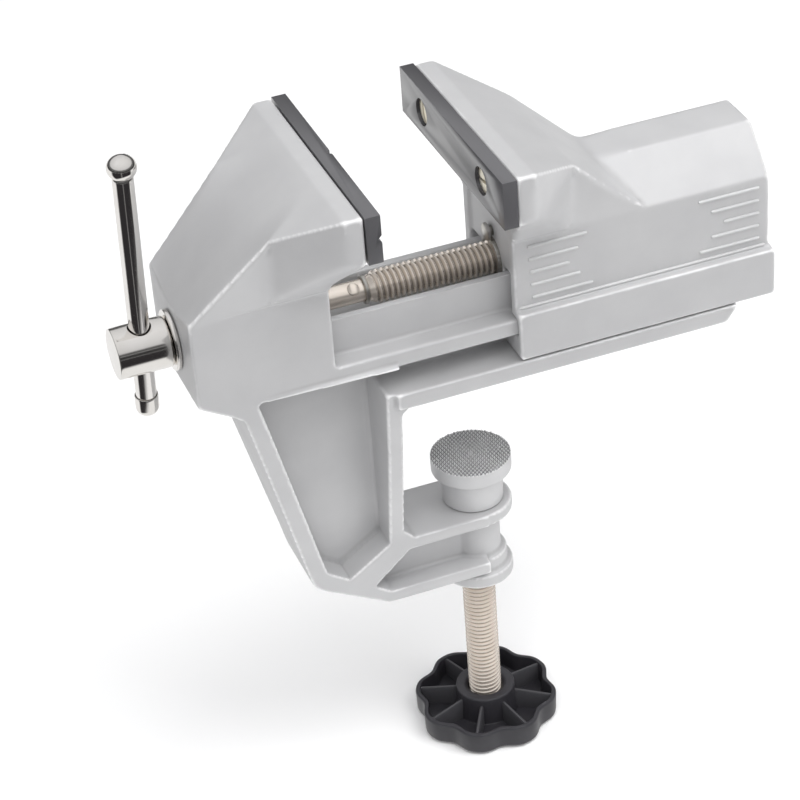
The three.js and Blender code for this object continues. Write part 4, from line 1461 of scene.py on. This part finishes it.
@dataclass
class Studio:
    """Floor, lights, surroundings and camera.

    The surround's stops are heights, from 0 straight down to 1 straight up, with their brightness. They give
    bright metal its bands. The flag is a painted reflection: a patch of floor that glows, dark along
    flag_ahead and pale elsewhere, and only mirrors see it. It spreads along flag_ahead, from flag_start on,
    and as wide as flag_spread times the way ahead.
    """

    floor_size: float = 8.0
    floor_colour: float = 0.98
    lamps: tuple[Lamp, ...] = (
        Lamp("key", (-0.5, -0.9, 1.2), 0.9, 7.0),
        Lamp("top", (0.4, -0.4, 1.45), 1.1, 17.0),
        Lamp("fill", (0.9, -1.0, 0.8), 1.0, 4.0),
    )
    surround: Triple = (0.97, 0.97, 0.98)
    surround_power: float = 0.62
    surround_stops: tuple[Pair, ...] = (
        (0.0, 0.75), (0.47, 0.6), (0.5, 0.06), (0.59, 0.06), (0.61, 0.55),
        (0.63, 0.1), (0.67, 0.12), (0.72, 1.0), (1.0, 1.3),
    )
    flag_ahead: Pair = (-0.316, -0.949)
    flag_start: Pair = (0.2, 0.26)
    flag_spread: Pair = (1.9, 3.2)
    flag_aside: float = 0.1
    flag_nearest: float = 0.02
    streak_spread: Pair = (0.02, 0.08)
    streak_dark: float = 0.75
    flag_colour: Triple = (0.03, 0.028, 0.03)
    flag_pale: Triple = (0.9, 0.9, 0.9)
    camera_place: Triple = (-0.27878, -0.76222, 0.5285)
    camera_right: Triple = (0.93120999, -0.35830728, -0.06681204)
    camera_down: Triple = (-0.25291993, -0.50323952, -0.82630594)
    camera_ahead: Triple = (0.26244897, 0.78636244, -0.55924472)
    lens: float = 126.99
    sensor: float = 36.0

    def camera(self) -> None:
        """Makes the camera and sets it as the scene's."""
        data = bpy.data.cameras.new("camera")
        data.lens, data.sensor_width = self.lens, self.sensor
        data.clip_start, data.clip_end = 0.01, 50
        obj = bpy.data.objects.new("camera", data)
        axes = np.array([self.camera_right, -np.array(self.camera_down), -np.array(self.camera_ahead)]).T
        matrix = np.eye(4)
        matrix[:3, :3], matrix[:3, 3] = axes, self.camera_place
        obj.matrix_world = Matrix(matrix.tolist())
        bpy.context.scene.collection.objects.link(obj)
        bpy.context.scene.camera = obj

    def world(self) -> None:
        """A pale surround, which bright metal sees with a dark band and a light line above the horizon."""
        world = bpy.data.worlds.new("studio")
        bpy.context.scene.world = world
        world.use_nodes = True
        g = Graph(world.node_tree)
        back = world.node_tree.nodes["Background"]
        way = g.add("ShaderNodeSeparateXYZ", {0: g.add("ShaderNodeTexCoord").outputs["Generated"]})
        lift = g.math("ADD", g.math("MULTIPLY", way.outputs[2], 0.5), 0.5)
        bands = g.add("ShaderNodeValToRGB", {0: lift})
        elements, stops = bands.color_ramp.elements, self.surround_stops
        elements[0].position, elements[1].position = stops[0][0], stops[-1][0]
        for place, _ in stops[1:-1]:
            elements.new(place)
        for element, (_, level) in zip(elements, stops):
            element.color = (level, level, level * 1.01, 1)
        seen = g.add("ShaderNodeLightPath").outputs["Is Glossy Ray"]
        g.tree.links.new(g.mix(seen, (*self.surround, 1), bands.outputs[0]), back.inputs["Color"])
        back.inputs["Strength"].default_value = self.surround_power

    def flag(self, paint: bpy.types.Material) -> None:
        """Paints a reflection into the floor: glossy rays see it glow pale, with a dark wedge along
        flag_ahead for a table edge, which nothing else sees.

        Args:
            paint: the floor's material.
        """
        g = Graph(paint.node_tree)
        nodes = paint.node_tree.nodes
        shader, out = nodes["Principled BSDF"], nodes["Material Output"]
        parts = g.add("ShaderNodeSeparateXYZ", {0: g.add("ShaderNodeTexCoord").outputs["Object"]})
        x, y = parts.outputs[0], parts.outputs[1]

        def along(way: Pair) -> bpy.types.NodeSocket:
            """The distance along a level direction."""
            return g.math("ADD", g.math("MULTIPLY", x, way[0]), g.math("MULTIPLY", y, way[1]))

        def spread(value: bpy.types.NodeSocket, span: Pair, at: Pair) -> bpy.types.NodeSocket:
            """A value mapped from a span to the range from at[0] to at[1]."""
            limits = {0: value, 1: span[0], 2: span[1], 3: at[0], 4: at[1]}
            return g.add("ShaderNodeMapRange", limits).outputs[0]

        ahead, aside = along(self.flag_ahead), along((-self.flag_ahead[1], self.flag_ahead[0]))
        reach = g.math("SQRT", g.math("ADD", g.math("POWER", ahead, 2.0), g.math("POWER", aside, 2.0)))
        offset = g.math("ADD", aside, self.flag_aside)
        slope = g.math("ABSOLUTE", g.math("DIVIDE", offset, g.math("MAXIMUM", ahead, self.flag_nearest)))
        wide = spread(slope, self.flag_spread, (1.0, 0.0))
        dark = g.math("MULTIPLY", wide, spread(reach, self.flag_start, (0.0, 1.0)))
        streak = spread(slope, self.streak_spread, (self.streak_dark, 1.0))
        level = g.mix(g.math("MULTIPLY", dark, streak), (*self.flag_pale, 1), (*self.flag_colour, 1))
        # Painted reflection: the floor glows at this level for glossy rays only
        glow = g.add("ShaderNodeEmission", {"Color": level, "Strength": 1.0})
        seen = g.add("ShaderNodeLightPath").outputs["Is Glossy Ray"]
        mixed = g.add("ShaderNodeMixShader", {0: seen, 1: shader.outputs[0], 2: glow.outputs[0]})
        g.tree.links.new(mixed.outputs[0], out.inputs["Surface"])

    def floor(self, floor_z: float) -> None:
        """The pale floor.

        Args:
            floor_z: its height.
        """
        half = self.floor_size / 2
        mesh = bpy.data.meshes.new("floor")
        corners = [(x * half, y * half, floor_z) for x, y in ((-1, -1), (1, -1), (1, 1), (-1, 1))]
        mesh.from_pydata(corners, [], [(0, 1, 2, 3)])
        floor = bpy.data.objects.new("floor", mesh)
        bpy.context.scene.collection.objects.link(floor)
        paint = bpy.data.materials.new("floor_white")
        paint.use_nodes = True
        shader = paint.node_tree.nodes["Principled BSDF"]
        shader.inputs["Base Color"].default_value = (*[self.floor_colour] * 3, 1)
        shader.inputs["Roughness"].default_value = 0.9
        shader.inputs["Specular IOR Level"].default_value = 0.1
        self.flag(paint)
        mesh.materials.append(paint)
        floor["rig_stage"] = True

    def build(self, floor_z: float) -> None:
        """Makes the floor, the lights, the surroundings and the camera.

        Args:
            floor_z: the height of the floor.
        """
        self.floor(floor_z)
        for lamp in self.lamps:
            lamp.build()
        self.world()
        self.camera()
        view = bpy.context.scene.view_settings
        view.view_transform, view.look = "Standard", "None"


def main() -> None:
    """Builds the vise and the studio."""
    logging.basicConfig(level=logging.INFO, format="%(name)s: %(message)s")
    cad_low, cad_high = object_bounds()
    groups = Groups()
    metals = (CASTING, RAISED_HIGHLIT, KNURLED, BLACK_PLATE, NICKEL, CHROME, STEEL, BRASS)
    casting, raised, knurled, plate, nickel, chrome, steel, brass = (f.build(groups) for f in metals)
    plastic = PLASTIC.build(groups)
    Castings(casting, raised).build()
    JawPlates(plate, brass).build()
    screw = LeadScrew(nickel, chrome, steel)
    screw.build()
    Handle(chrome).build(screw)
    TableClamp(knurled, nickel, plastic, steel, brass).build()
    Studio().build(cad_low.z)


if __name__ == "__main__":
    main()
